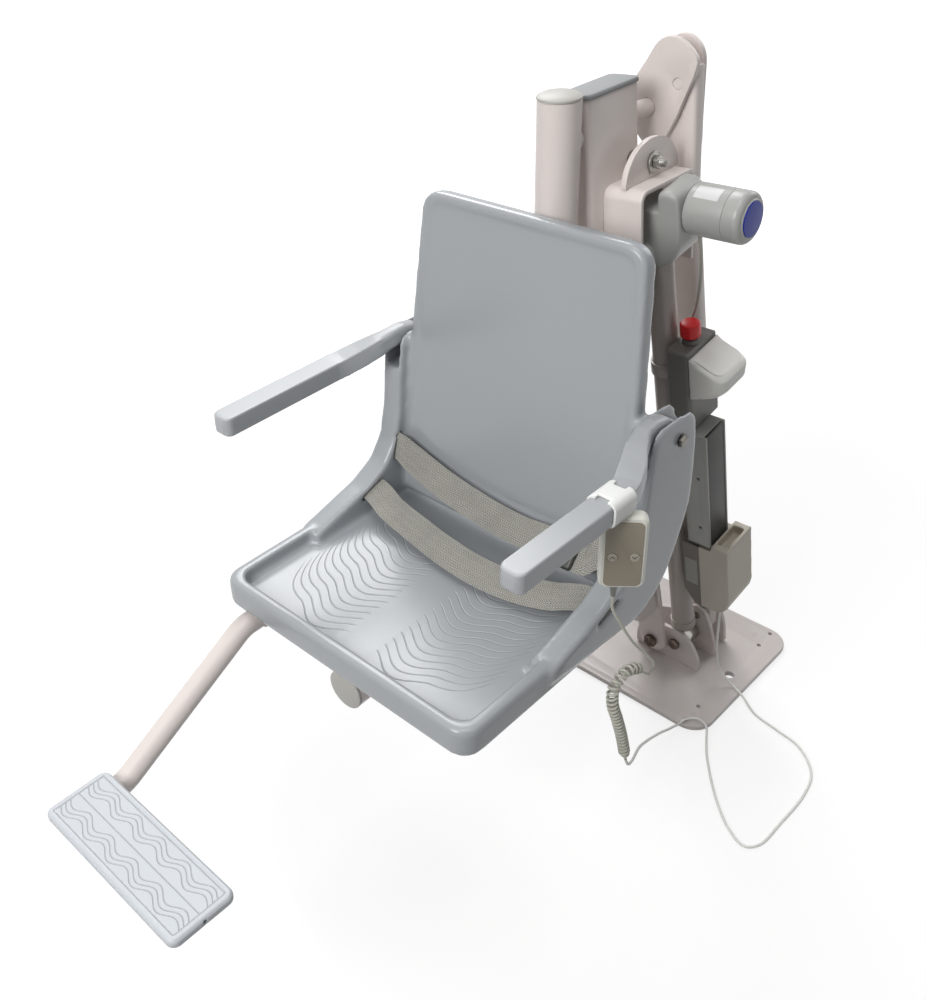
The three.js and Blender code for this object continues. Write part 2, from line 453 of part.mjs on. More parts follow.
// arm
const armBody = loft(armRings.map(([z, y0, y1]) => ringXY(-armTube.half, armTube.half, y0, y1, z, armTube.r)));
const shaftHole = barY(0, armSpan, topPin.r + boreGap, armTube.front - through, armTube.back + through, 20);
add("arm_tube", place(cut(armBody, shaftHole), armFrame), tone.frame);
const capLow = armTube.high + meet;
add("arm_cap", place(loft([
  [capLow, 0], [capLow + capPiece.t * 0.7, 0], [capLow + capPiece.t, capPiece.over],
].map(([z, inset]) => ringXY(-armTube.half - capPiece.over + inset, armTube.half + capPiece.over - inset,
  armTube.front - capPiece.over + inset, armTube.back + capPiece.over - inset, z, capPiece.r))), armFrame), tone.armCap);
// flat foot plate behind the tube, reaching down over the lower pin and leaning forward with the tube
const footOutline = new THREE.Shape();
footOutline.moveTo(armPlate.half, 0);
footOutline.lineTo(armPlate.taper, armPlate.top);
footOutline.lineTo(-armPlate.taper, armPlate.top);
footOutline.lineTo(-armPlate.half, 0);
footOutline.absarc(0, 0, armPlate.foot, Math.PI, 2 * Math.PI, false);
footOutline.closePath();
const shear = new THREE.Matrix4().set(1, 0, 0, 0, 0, 1, -armPlate.slantShare, 0, 0, 0, 1, 0, 0, 0, 0, 1);
add("arm_foot_plate", place(cut(place(slab(footOutline, "y", armPlate.y0, armPlate.y0 + armPlate.t, 0, 9), shear),
  barY(0, 0, armPin.r + boreGap, armPlate.y0 - through, armPlate.y0 + armPlate.t + through, 16)), armFrame), tone.frame);

// yoke: a flat strap bent to an upside-down U, its legs before and behind the ram
const yokeX0 = armTube.half + meet;
const yokeX1 = yokeX0 + yoke.w;
const legShape = new THREE.Shape();
const yTop = yoke.top;
const yLowF = yTop - yoke.legFront;
const yLowB = yTop - yoke.legBack;
legShape.moveTo(yoke.y0, yLowF);
legShape.lineTo(yoke.y0, yTop - yoke.r);
legShape.absarc(yoke.y0 + yoke.r, yTop - yoke.r, yoke.r, Math.PI, Math.PI / 2, true);
legShape.lineTo(yoke.y1 - yoke.r, yTop);
legShape.absarc(yoke.y1 - yoke.r, yTop - yoke.r, yoke.r, Math.PI / 2, 0, true);
legShape.lineTo(yoke.y1, yLowB);
legShape.lineTo(yoke.y1 - yoke.bar, yLowB);
legShape.lineTo(yoke.y1 - yoke.bar, yTop - yoke.r);
legShape.absarc(yoke.y1 - yoke.r, yTop - yoke.r, yoke.r - yoke.bar, 0, Math.PI / 2, false);
legShape.lineTo(yoke.y0 + yoke.r, yTop - yoke.bar);
legShape.absarc(yoke.y0 + yoke.r, yTop - yoke.r, yoke.r - yoke.bar, Math.PI / 2, Math.PI, false);
legShape.lineTo(yoke.y0 + yoke.bar, yLowF);
legShape.closePath();
add("yoke", place(slab(legShape, "x", yokeX0, yokeX1, 0, 4), armFrame), tone.frame);
const lugX = yokeX0 + (yoke.w - lug.t) / 2;
const lugMid = (yoke.y0 + yoke.y1) / 2;
const lugShape = new THREE.Shape();
const lugLow = yTop + meet;
lugShape.moveTo(lugMid - lug.r, lugLow);
lugShape.lineTo(lugMid + lug.r, lugLow);
lugShape.absellipse(lugMid, lugLow, lug.r, lug.rise, 0, Math.PI, false);
lugShape.closePath();
add("yoke_lug", place(cut(slab(lugShape, "x", lugX, lugX + lug.t, 0, 14),
  barX(lugMid, lugLow + lug.pinUp, lug.slot, lugX - joinDepth, lugX + lug.t + joinDepth, 16)), armFrame), tone.frame);
const washerX = lugX + lug.t + meet;
const washerShape = new THREE.Shape();
washerShape.absarc(0, 0, dWasher.r, -0.6, Math.PI + 0.6, false);
washerShape.lineTo(-dWasher.flat, -dWasher.r);
washerShape.lineTo(dWasher.flat, -dWasher.r);
washerShape.closePath();
const washer = slab(washerShape, "x", washerX, washerX + dWasher.t, 0, 12);
washer.translate(0, lugMid, lugLow + lug.pinUp);
add("yoke_washer", place(cut(washer, barX(lugMid, lugLow + lug.pinUp, yokeBolt.r + boreGap, washerX - joinDepth,
  washerX + dWasher.t + joinDepth, 14)), armFrame), tone.zinc);
const nutX = washerX + dWasher.t + meet;
const boltY = lugMid;
const boltZ = lugLow + lug.pinUp;
add("yoke_bolt", place(joined(
  barX(boltY, boltZ, yokeBolt.r, yokeX0, nutX + yokeBolt.nutT + yokeBolt.tip, 14),
  barX(boltY, boltZ, yokeBolt.nut, nutX, nutX + yokeBolt.nutT, 6),
  barX(boltY, boltZ, spacer.r, yokeX0, lugX - meet, 18),
), armFrame), tone.zinc);

// rear link
const linkShift = (linkTop.x - linkPin.x) / (linkTop.z - linkPin.z);
const linkRing = ([z, y]) => {
  const x = linkPin.x + linkShift * (z - linkPin.z);
  return ringXY(x - link.half, x + link.half, y - link.depth / 2, y + link.depth / 2, z, link.r, 3);
};
const linkBody = loft([[linkPin.z - link.end, link.yLow], [linkPin.z + link.end, link.yLow], [linkTop.z - link.plain, link.yTop],
  [linkTop.z + link.end, link.yTop]].map(linkRing));
add("rear_link", cut(linkBody,
  barY(linkPin.x, linkPin.z, linkPin.r + boreGap, link.yLow - link.depth, link.yLow + link.depth, 16),
  barY(linkTop.x, linkTop.z, finPin.r + boreGap, link.yTop - link.depth, link.yTop + link.depth, 16)), tone.frame);

// carriage
const postLine = bentPath([v(0, 0, post.top), v(0, 0, post.low), v(0, post.front, post.low)], post.bend, 8);
add("seat_post", ringTube(postLine, post.r, 24), tone.frame);
add("post_cap_top", turned([[0, 0], [postCap.r, 0], [postCap.r, postCap.t], [postCap.r * 0.8, postCap.dome + postCap.t * 0.6],
  [0, postCap.dome + postCap.t]], 28, v(0, 0, post.top + meet), v(0, 0, 1)), tone.cap);
add("post_cap_front", turned([[0, 0], [frontCap.r, 0], [frontCap.r, frontCap.t], [frontCap.r * 0.8, frontCap.t + frontCap.dome * 0.7],
  [0, frontCap.t + frontCap.dome]], 28, v(0, post.front - meet, post.low), v(0, -1, 0)), tone.cap);
// the cross shaft's front end is hollowed to the post's curve by a cut
const postBlock = barZ(0, 0, post.r + meet, topPin.z - 2 * through, topPin.z + 2 * through, 48);
add("cross_shaft", cut(joined(barY(topPin.x, topPin.z, topPin.r, post.r * 0.7, shaftEnd, 20),
  barY(topPin.x, topPin.z, shaft.collarR, post.r * 0.8, armTube.front - shaft.collarGap, 20)), postBlock), tone.bolt);
function fin(shares, f, pins) {
  const points = spread(shares, topPin.x - f.left, topPin.x + f.right, topPin.z - f.down, topPin.z + f.up);
  return cut(slab(outline(points, finCorner), "y", f.y, f.y + f.t, 0, 4),
    ...pins.map((p) => barY(p.x, p.z, p.r, f.y - joinDepth, f.y + f.t + joinDepth, 20)));
}
const shaftBore = { x: topPin.x, z: topPin.z, r: topPin.r + meet };
const linkBore = { x: linkTop.x, z: linkTop.z, r: finPin.r + meet };
add("fin_front", fin(finFrontShares, finFront, [shaftBore, linkBore]), tone.frame);
add("fin_rear", fin(finRearShares, finRear, [shaftBore, linkBore]), tone.frame);
const pinHead = finRear.y + finRear.t + meet;
add("fin_pin", joined(barY(linkTop.x, linkTop.z, finPin.r, finFront.y + finPin.set, pinHead + finPin.headH, 16),
  barY(linkTop.x, linkTop.z, finPin.head, pinHead, pinHead + finPin.headH, 6)), tone.bolt);

// ram: rod, then the part that slides on it
const eyeEnd = rod.eyeHalf + through;
const eyeHole = barY(ramPin.x, ramPin.z, ramPin.r + boreGap, ramFoot.y - eyeEnd, ramFoot.y + eyeEnd, 16);
const eye = barY(ramPin.x, ramPin.z, rod.eyeR, ramFoot.y - rod.eyeHalf, ramFoot.y + rod.eyeHalf, 22);
const rodBar = place(barZ(0, 0, rod.r, rod.low, rod.top, 18), ramFrame);
add("ram_rod", cut(joined(eye, rodBar), eyeHole), tone.steel);
const outer = joined(barZ(0, 0, ramTube.r, ramTube.low, ramTube.high, 22),
  barZ(0, 0, ramTube.collarR, ramTube.collarLow, ramTube.low + joinDepth, 22));
const boreCut = barZ(0, 0, ramTube.bore, ramTube.collarLow - joinDepth, rod.top + rod.room, 16);
add("ram_tube", place(cut(outer, boreCut), ramFrame), tone.steel);
const gearShape = spread(gearShares, gearBox.left, gearBox.right, gearBox.low, gearBox.high);
const gearBody = slab(outline(gearShape, gearBox.corner), "y", -gearBox.half, gearBox.half, gearBox.bevel, 4, 2);
const bossFront = barY(0, ramSpan, boss.r, -boss.front, -gearBox.half + joinDepth, 16);
const bossBack = barY(0, ramSpan, boss.r, gearBox.half - joinDepth, boss.back, 16);
add("gear_housing", place(joined(gearBody, bossFront, bossBack), ramFrame), tone.motor);
const canLength = motor.capFrom - motor.from - meet;
const motorProfile = [[0, 0], [motor.flangeR, 0], [motor.flangeR, motor.flangeT], [motor.r, motor.flangeT + motor.flangeStep],
  [motor.r, canLength],
  [0, canLength]];
add("motor_can", place(turned(motorProfile, 30, v(motor.from, motor.back, motor.up), v(1, 0, 0)), ramFrame), tone.motor);
const capLen = motor.end - motor.capFrom;
const capProfile = [[0, 0], [motor.r, 0], [motor.r, capLen - motor.round], [motor.r * 0.94, capLen - motor.round * 0.4],
  [motor.r * 0.8, capLen], [motor.disc, capLen], [motor.disc, capLen + motor.discT], [0, capLen + motor.discT]];
add("motor_end_cap", place(turned(capProfile, 30, v(motor.capFrom, motor.back, motor.up), v(1, 0, 0)), ramFrame), tone.motor);

// control set on the ram's +X side
const upper = slab(rect(box.x0, box.x1, -box.half, box.half, box.r), "z", box.low, box.high, box.bevel, 4);
add("control_box_upper", place(upper, ramFrame), tone.dark);
const coverX0 = box.x1 + meet;
const coverShape = spread(coverShares, coverX0, cover.x1, box.high - cover.down, box.high - cover.up);
add("control_cover", place(slab(outline(coverShape, cover.r), "y", -box.half, box.half, box.bevel, 4), ramFrame), tone.cream);
add("stop_collar", place(cut(barZ(stop.x, 0, stop.collarR, box.high + meet, box.high + stop.collarT, 22),
  barZ(stop.x, 0, stop.stemR + boreGap, box.high - joinDepth, box.high + stop.collarT + joinDepth, 16)), ramFrame), tone.dark);
const stopLow = box.high + stop.collarT + stop.travel + meet;
add("stop_button", place(joined(turned(spread(stopShares, 0, stop.r, 0, stop.t), 26, v(stop.x, 0, stopLow), v(0, 0, 1)),
  barZ(stop.x, 0, stop.stemR, box.high + stop.travel + stop.stemGap, stopLow + joinDepth, 14)), ramFrame), tone.red);
const railHigh = box.low - meet;
const channel = cut(slab(rect(rail.x0, rail.x1, rail.y0, rail.y1, rail.corner), "z", rail.low, railHigh, 0, 2),
  block(rail.x1 - strip.t - strip.sink, rail.x1 + through, strip.y0 - meet, strip.y1 + meet, rail.low - through, railHigh + through),
  ...[railHigh - rail.slotDown, rail.low + rail.slotUp].map((z) => barY(rail.x0 + rail.slotX, z, rail.slotR, rail.y0 - joinDepth,
    rail.y0 + rail.slotDepth, 10)));
add("battery_rail", place(channel, ramFrame), tone.rail);
add("rail_strip", place(block(rail.x1 - strip.t - strip.sink + meet, rail.x1 - strip.sink, strip.y0, strip.y1, rail.low + strip.sink,
  railHigh - strip.sink), ramFrame), tone.strip);
const trayTop = rail.low - meet;
const lowerShape = [[tray.x0, tray.low + tray.slope], [tray.x0 + tray.chin, tray.low], [tray.x1 - tray.toe, tray.low],
  [tray.x1, tray.low + tray.foot], [tray.x1, trayTop + tray.lip], [tray.deckX + tray.wall, trayTop + tray.lip],
  [tray.deckX + tray.wall - tray.draft, trayTop - tray.step], [tray.x0, trayTop - tray.step]];
add("control_box_lower", place(cut(slab(outline(lowerShape, tray.corner), "y", -tray.half, tray.half, tray.bevel, 4),
  block(tray.deckX + tray.pocketX, tray.x1 - tray.pocketWall, -tray.half + tray.pocketY, tray.half - tray.pocketY,
    trayTop - tray.pocketDeep, trayTop + through)), ramFrame), tone.lower);
const deckZ = trayTop - tray.step + meet;
const deckTop = rail.low - meet;
const contacts = [-1, 1].map((side) => side * contact.y - contact.shift).map((y) => block(rail.x1 - contact.w - contact.inset,
  rail.x1 - contact.inset, y - contact.l / 2, y + contact.l / 2, deckTop - contact.t - contact.root, deckTop));
add("contact_deck", place(joined(slab(rect(rail.x0 - deck.over, tray.deckX - deck.short, -tray.half + deck.side, tray.half - deck.side,
  deck.corner), "z", deckZ, deckTop - contact.t, 0, 3), ...contacts), ramFrame), tone.dark);
add("connector_stub", place(turned([[0, 0], [stub.r - stub.lead, 0], [stub.r, stub.rise], [stub.r, stub.t], [0, stub.t]], 18,
  v(stub.x, stub.y, tray.low - meet - stub.t), v(0, 0, 1)), ramFrame), tone.bolt);
add("ram_clamp", place(cut(barZ(0, 0, clampBand.r, clampBand.z - clampBand.h / 2, clampBand.z + clampBand.h / 2, 22),
  barZ(0, 0, ramTube.r + meet, clampBand.z - clampBand.h, clampBand.z + clampBand.h, 22),
  block(box.x0 - meet, box.x1, -box.half, box.half, clampBand.z - clampBand.h, clampBand.z + clampBand.h)), ramFrame), tone.dark);

// chair shell
// pan: rounded tray with a raised rim
const panOuter = slab(rect(-pan.half, pan.half, pan.y0, pan.y1, pan.corner), "z", pan.z0, pan.z1, pan.bevel, 5, 2);
const panInner = slab(rect(-pan.half + pan.rim, pan.half - pan.rim, pan.y0 + pan.rim, pan.y1 + pan.rim, pan.innerCorner), "z",
  pan.floor, pan.z1 + through, 0, 4);
// backrest: a slab that leans and narrows upwards, with round shoulders and a shallow dished face
const backLean = (back.yF1 - back.yF0) / (back.z1 - back.z0);
function backOutline(inset, low) {
  const h = back.z1 - back.z0;
  const s = new THREE.Shape();
  const top = h - inset;
  const w0 = back.half0 - inset;
  const w1 = back.half1 - inset;
  const r = back.r - inset * 0.5;
  const share = (top - r - low) / h;
  const wide = w0 + (w1 - w0) * (low / h);
  const high = wide + (w1 - w0) * share;
  s.moveTo(-wide, low);
  s.lineTo(wide, low);
  s.lineTo(high, top - r);
  s.quadraticCurveTo(w1, top, w1 - r, top);
  s.lineTo(-w1 + r, top);
  s.quadraticCurveTo(-w1, top, -high, top - r);
  s.closePath();
  return s;
}
const backTilt = new THREE.Matrix4().makeRotationX(-Math.atan(backLean)).setPosition(0, back.yF0, back.z0);
const backSlab = place(slab(backOutline(0, 0), "y", 0, back.t, back.bevel, 5, 2), backTilt);
const backDish = place(slab(backOutline(back.inset, back.dishLow), "y", -through, back.dish, 0, 5), backTilt);
// side wings rise from the pan to carry the armrests
const wingShape = spread(wingShares, wing.y0, wing.y1, wing.z0, wing.z1);
const wingPlus = slab(outline(wingShape, wing.corner), "x", wing.x0, wing.x1, wing.bevel, 2, 1);
const wingMinus = slab(outline(wingShape, wing.corner), "x", -wing.x1, -wing.x0, wing.bevel, 2, 1);
const slotShape = outline([[armSlot.y0, armSlot.z0], [armSlot.y1 - armSlot.ramp, armSlot.z0], [armSlot.y1, armSlot.z0 + armSlot.rise],
  [armSlot.y1 + armSlot.out, armSlot.z0 + armSlot.upper], [armSlot.y1 + armSlot.out, armSlot.z0 + armSlot.high],
  [armSlot.y0, armSlot.z0 + armSlot.high]], armSlot.corner);
const slotPlus = slab(slotShape, "x", armSlot.x0, armSlot.x1, 0, 3);
const slotMinus = slab(slotShape, "x", -armSlot.x1, -armSlot.x0, 0, 3);
function beltSlot(spec, side) {
  const g = slab(rect(-spec.w / 2, spec.w / 2, -spec.len / 2, spec.len / 2, spec.w * 0.45), "x", wing.x0 - through,
    wing.x1 + through, 0, 3);
  g.rotateX(-spec.tilt);
  g.translate(0, spec.y, spec.z);
  if (side < 0) g.scale(-1, 1, 1);
  return outward(g);
}
const pinHoles = [1, -1].map((side) => barX(restPin.y, restPin.z, restPin.r + meet,
  Math.min(side * (restPin.from - joinDepth), side * (wing.x1 + joinDepth)),
  Math.max(side * (restPin.from - joinDepth), side * (wing.x1 + joinDepth)), 14));
let shell = solid(panOuter).subtract(solid(panInner));
shell = shell.add(solid(backSlab)).subtract(solid(backDish));
shell = shell.add(solid(wingPlus)).add(solid(wingMinus));
for (const tool of [slotPlus, slotMinus, ...pinHoles, beltSlot(beltSlotHigh, -1), beltSlot(beltSlotHigh, 1), beltSlot(beltSlotLow, -1),
  beltSlot(beltSlotLow, 1)]) {
  shell = shell.subtract(solid(tool));
}
add("seat_shell", mesh(shell), tone.shell);

// brackets between the chair and the tube
const panUnder = pan.z0 - meet;
const tubeCutFlat = barY(0, post.low, post.r + meet, post.front - through, through, 40);
for (const [name, y] of [["seat_bracket_front", bracket.yFront], ["seat_bracket_rear", bracket.yBack]]) {
  const saddle = joined(block(-bracket.w / 2, bracket.w / 2, y - bracket.d / 2, y + bracket.d / 2, panUnder - bracket.t, panUnder),
    block(-post.r - bracket.hang, post.r + bracket.hang, y - bracket.d / 2, y + bracket.d / 2, post.low + bracket.seat,
      panUnder - bracket.root));
  add(name, cut(saddle, tubeCutFlat), tone.frame);
}
const tieTilt = new THREE.Matrix4().makeRotationX(-Math.atan(backLean))
  .setPosition(0, back.yF0 + backLean * (backTie.z - back.z0), backTie.z);
const tieBody = place(block(-backTie.half, backTie.half, back.t / Math.cos(Math.atan(backLean)) + meet, back.t + backTie.deep, -backTie.h / 2,
  backTie.h / 2), tieTilt);
add("back_bracket", cut(tieBody, barZ(0, 0, post.r + meet, backTie.z - backTie.trim, backTie.z + backTie.trim, 48),
  block(-backTie.trim, backTie.trim, -post.r * 0.55, backTie.trim, backTie.z - backTie.trim, backTie.z + backTie.trim)), tone.frame);

// armrests
const restLine = restShares.map(([run, inward, rise]) => [rest.y0 + run * (rest.y1 - rest.y0), rest.x - inward * rest.inward,
  rest.z + rise * rest.rise]);
function armrest(side) {
  const n = restLine.length;
  const rings = restLine.map(([y, x, z], i) => {
    const a = restLine[Math.max(0, i - 1)];
    const b = restLine[Math.min(n - 1, i + 1)];
    const t = v(b[1] - a[1], b[0] - a[0], b[2] - a[2]).normalize();
    const across = new THREE.Vector3().crossVectors(t, v(0, 0, 1)).normalize();
    const upward = new THREE.Vector3().crossVectors(across, t).normalize();
    const half = rest.half * restShares[i][3];
    const tall = rest.tall * restShares[i][4];
    return cornerPoints(-half, half, -tall / 2, tall / 2, Math.min(rest.r, half * 0.5, tall * 0.3), 2)
      .map(([px, py]) => v(x, y, z).addScaledVector(across, px).addScaledVector(upward, py));
  });
  const body = loft(rings);
  const barrel = barX(restPin.y, restPin.z, rest.hinge, armSlot.x0 + rest.side, armSlot.x1 - rest.side, 20);
  const bore = barX(restPin.y, restPin.z, restPin.r + boreGap, armSlot.x0 - joinDepth, armSlot.x1 + joinDepth, 14);
  const g = cut(joined(body, barrel), bore);
  if (side < 0) g.scale(-1, 1, 1);
  return outward(g);
}
add("armrest_left", armrest(1), tone.rest);
add("armrest_right", armrest(-1), tone.rest);
for (const [name, side] of [["armrest_pin_left", 1], ["armrest_pin_right", -1]]) {
  add(name, hexBolt(v(side * (wing.x1 + meet), restPin.y, restPin.z), v(-side, 0, 0), restPin.r,
    wing.x1 + meet - restPin.from, restPin.head, restPin.headH), tone.bolt);
}

// footrest
const socketZ = panUnder - socket.r;
const socketY0 = pan.y0 + socket.lip;
add("footrest_socket", cut(barY(foot.x, socketZ, socket.r, socketY0, socketY0 + socket.len, 24),
  barY(foot.x, socketZ, foot.tubeR + boreGap, socketY0 - joinDepth, socketY0 + socket.len + joinDepth, 24)), tone.frame);
const plateUnder = footPlate.z0 - meet;
const restEnd = v(foot.x + foot.shift, foot.yEnd, plateUnder - foot.tubeR);
const restKnee = v(foot.x + foot.shift, footPlate.y1 + foot.clear, plateUnder - foot.tubeR);
const footLine = bentPath([v(foot.x, foot.yIn, socketZ), v(foot.x, foot.yBend, socketZ), restKnee, restEnd], foot.bend, 5);
add("footrest_tube", ringTube(footLine, foot.tubeR, 20), tone.frame);
const platePlan = rect(footPlate.x0, footPlate.x1, footPlate.y0, footPlate.y1, footPlate.r);
add("footrest_plate", cut(slab(platePlan, "z", footPlate.z0, footPlate.z1, footPlate.bevel, 4, 1),
  slab(rect(footPlate.x0 + footPlate.border, footPlate.x1 - footPlate.border, footPlate.y0 + footPlate.border,
    footPlate.y1 - footPlate.border, footPlate.innerR), "z", footPlate.z1 - footPlate.lip, footPlate.z1 + through, 0, 4),
  barX((footPlate.y0 + footPlate.y1) / 2, (footPlate.z0 + footPlate.z1) / 2, endHole.r, footPlate.x1 - endHole.depth,
    footPlate.x1 + through, 12)), tone.rest);

// belt
function ribbon(points, thick) {
  const n = points.length;
  const centre = points.map((p) => v(p[0], p[1], p[2]));
  return loft(points.map((p, i) => {
    const t = new THREE.Vector3().subVectors(centre[Math.min(n - 1, i + 1)], centre[Math.max(0, i - 1)]).normalize();
    const w = v(p[3], p[4], p[5]);
    w.addScaledVector(t, -w.dot(t)).normalize();
    const k = new THREE.Vector3().crossVectors(t, w).normalize();
    return [[-1, -1], [1, -1], [1, 1], [-1, 1]].map(([a, b]) => centre[i].clone()
      .addScaledVector(w, (a * strap.w) / 2).addScaledVector(k, (b * thick) / 2));
  }));
}
add("belt_long", ribbon(strapHigh, strap.t), tone.belt);
add("belt_lower", ribbon(strapLow, strap.t), tone.belt);
add("belt_short", ribbon(strapEnd, strap.t), tone.belt);
// push-button buckle: a rounded block across the straps, with a latch at each end of its width
const buckleW = v(...acrossShares).normalize();
const buckleFrame = new THREE.Matrix4().makeBasis(v(1, 0, 0), buckleW.clone(), new THREE.Vector3().crossVectors(v(1, 0, 0), buckleW))
  .setPosition(buckle.x, buckle.y, buckle.z);
const buckleBody = slab(rect(-buckle.l / 2, buckle.l / 2, -buckle.w / 2, buckle.w / 2, buckle.r), "z", -buckle.t / 2, buckle.t / 2,
  buckle.bevel, 3);
const strapMouth = [-1, 1].map((side) => block(Math.min(side * (buckle.l / 2 - buckle.mouth), side * (buckle.l / 2 + buckle.clear)),
  Math.max(side * (buckle.l / 2 - buckle.mouth), side * (buckle.l / 2 + buckle.clear)), -strap.w / 2 - meet, strap.w / 2 + meet,
  -strap.t / 2 - meet, strap.t / 2 + meet));
add("buckle", place(cut(buckleBody, ...strapMouth), buckleFrame), tone.black);

// handset on the left armrest
const handFrame = new THREE.Matrix4().makeRotationZ(hand.turn).setPosition(hand.x, hand.y, hand.z);
const handBlock = (grow) => slab(rect(-hand.w / 2 - grow, hand.w / 2 + grow, -hand.h / 2 - grow, hand.h / 2 + grow, hand.r), "y",
  -hand.t / 2 - grow, hand.t / 2 + grow, hand.bevel, 4);
const handFace = slab(rect(-hand.w / 2 + hand.inset, hand.w / 2 - hand.inset, -hand.h / 2 + hand.inset, hand.h / 2 - hand.inset,
  hand.faceR), "y", -hand.t / 2 - hand.faceT, -hand.t / 2 + hand.faceRoot, 0, 4);
const keyFront = -hand.t / 2 - hand.faceT;
const pockets = [-1, 1].map((side) => barY(side * key.x, key.z, key.r + key.pocket, keyFront - joinDepth, keyFront + key.depth + key.travel, 18));
add("handset_body", place(cut(joined(handBlock(0), handFace), ...pockets), handFrame), tone.hand);
for (const [name, side] of [["handset_key_up", -1], ["handset_key_down", 1]]) {
  add(name, place(barY(side * key.x, key.z, key.r, keyFront - key.t + key.depth - meet, keyFront + key.depth - meet, 18), handFrame), tone.dark);
}
const restZ = rest.z;
const restX = rest.x;
const clipHalf = rest.half + meet;
const clipTall = rest.tall / 2 + meet;
const clipOuter = slab(rect(restX - clipHalf - clip.wall, restX + clipHalf + clip.wall, restZ - clipTall - clip.wall,
  restZ + clipTall + clip.wall, rest.r + clip.wall), "y", clip.y0, clip.y1, 0, 4);
const clipInner = slab(rect(restX - clipHalf, restX + clipHalf, restZ - clipTall, restZ + clipTall, clip.innerR), "y", clip.y0 - joinDepth,
  clip.y1 + joinDepth, 0, 3);
const clipPad = block(clip.padX0, clip.padX1, clip.padY0, clip.padY1, restZ - clipTall - clip.drop, restZ - clipTall - clip.root);
add("handset_clip", cut(joined(clipOuter, clipPad), clipInner, place(handBlock(meet), handFrame),
  block(restX - clip.gapHalf, restX + clip.gapHalf, clip.y0 - joinDepth, clip.y1 + joinDepth, restZ, restZ + clipTall + clip.wall + through)), tone.clip);
const reliefTop = new THREE.Vector3(relief.x, 0, -hand.h / 2 - meet).applyMatrix4(handFrame);
const reliefLow = reliefTop.clone().add(v(0, 0, -relief.len));
add("cord_relief", rodBetween(reliefTop, reliefLow, relief.r, 14, relief.r1), tone.dark);

// handset cord: a free lead, the curls and a free tail, one after the other
const leadStart = reliefLow.clone().add(v(0, 0, -meet));
const wound = new THREE.CatmullRomCurve3(coilRoute.map((p) => v(...p)));
const coilIn = wound.getTangentAt(0);
const coilOut = wound.getTangentAt(1);
const coilHead = wound.getPointAt(0).addScaledVector(coilIn, -2 * cord.r);
const coilFoot = wound.getPointAt(1).addScaledVector(coilOut, 2 * cord.r);
const leadEnd = coilHead.clone().addScaledVector(coilIn, -meet);
// a free run: straight and square for one wire width at both ends, a smooth curve between them
function freeRun(start, startDir, route, end, endDir, steps) {
  const curve = new THREE.CatmullRomCurve3([start.clone().addScaledVector(startDir, 2 * cord.r), start.clone().addScaledVector(startDir, cord.stiff),
    ...route.map((p) => v(...p)), end.clone().addScaledVector(endDir, -2 * cord.r)], false, "centripetal");
  return [start, ...curve.getSpacedPoints(steps), end];
}
add("cord_lead", ringTube(freeRun(leadStart, v(0, 0, -1), leadRoute, leadEnd, coilIn, cord.leadSteps), cord.r, cord.smooth), tone.cord);

const coilLine = [coilHead];
const coilSteps = cord.curls * cord.perCurl;
let coilSide = v(1, 0, 0);
for (let i = 0; i <= coilSteps; i += 1) {
  const u = i / coilSteps;
  const t = wound.getTangentAt(u);
  coilSide = coilSide.clone().addScaledVector(t, -coilSide.dot(t)).normalize();
  const other = new THREE.Vector3().crossVectors(t, coilSide);
  const turn = (2 * Math.PI * i) / cord.perCurl;
  const grow = Math.min(1, (cord.curls * u) / cord.fade, (cord.curls * (1 - u)) / cord.fade);
  coilLine.push(wound.getPointAt(u).addScaledVector(coilSide, grow * cord.coilR * Math.cos(turn))
    .addScaledVector(other, grow * cord.coilR * Math.sin(turn)));
}
coilLine.push(coilFoot);
add("cord_coil", ringTube(coilLine, cord.r, cord.sides), tone.coil);
// least clear space between turns, for points more than three wire widths apart along the wire
const along = [0];
for (let i = 1; i < coilLine.length; i += 1) along.push(along[i - 1] + coilLine[i].distanceTo(coilLine[i - 1]));
let least = Infinity;
coilLine.forEach((p, i) => {
  for (let k = i + 1; k < coilLine.length - 1; k += 1) {
    if (along[k] - along[i] > 6 * cord.r) {
      const on = new THREE.Line3(coilLine[k], coilLine[k + 1]).closestPointToPoint(p, true, new THREE.Vector3());
      least = Math.min(least, on.distanceTo(p) - 2 * cord.r);
    }
  }
});
console.log("least gap of the curls to themselves: " + least.toFixed(2) + " mm");

const tailStart = coilFoot.clone().addScaledVector(coilOut, meet);
const boxLow = new THREE.Vector3(tray.cordX, tray.cordY, tray.low - meet).applyMatrix4(ramFrame);
add("cord_tail", ringTube(freeRun(tailStart, coilOut, tailRoute, boxLow, ramAxis, cord.tailSteps), cord.r, cord.smooth), tone.cord);

export default group;
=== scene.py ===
"""Looks of a pool lift: a moulded chair on a swinging arm, ram, control set, handset, belt and footrest."""

import bmesh
import bpy
import json
import math
import numpy as np
from mathutils import Matrix, Vector


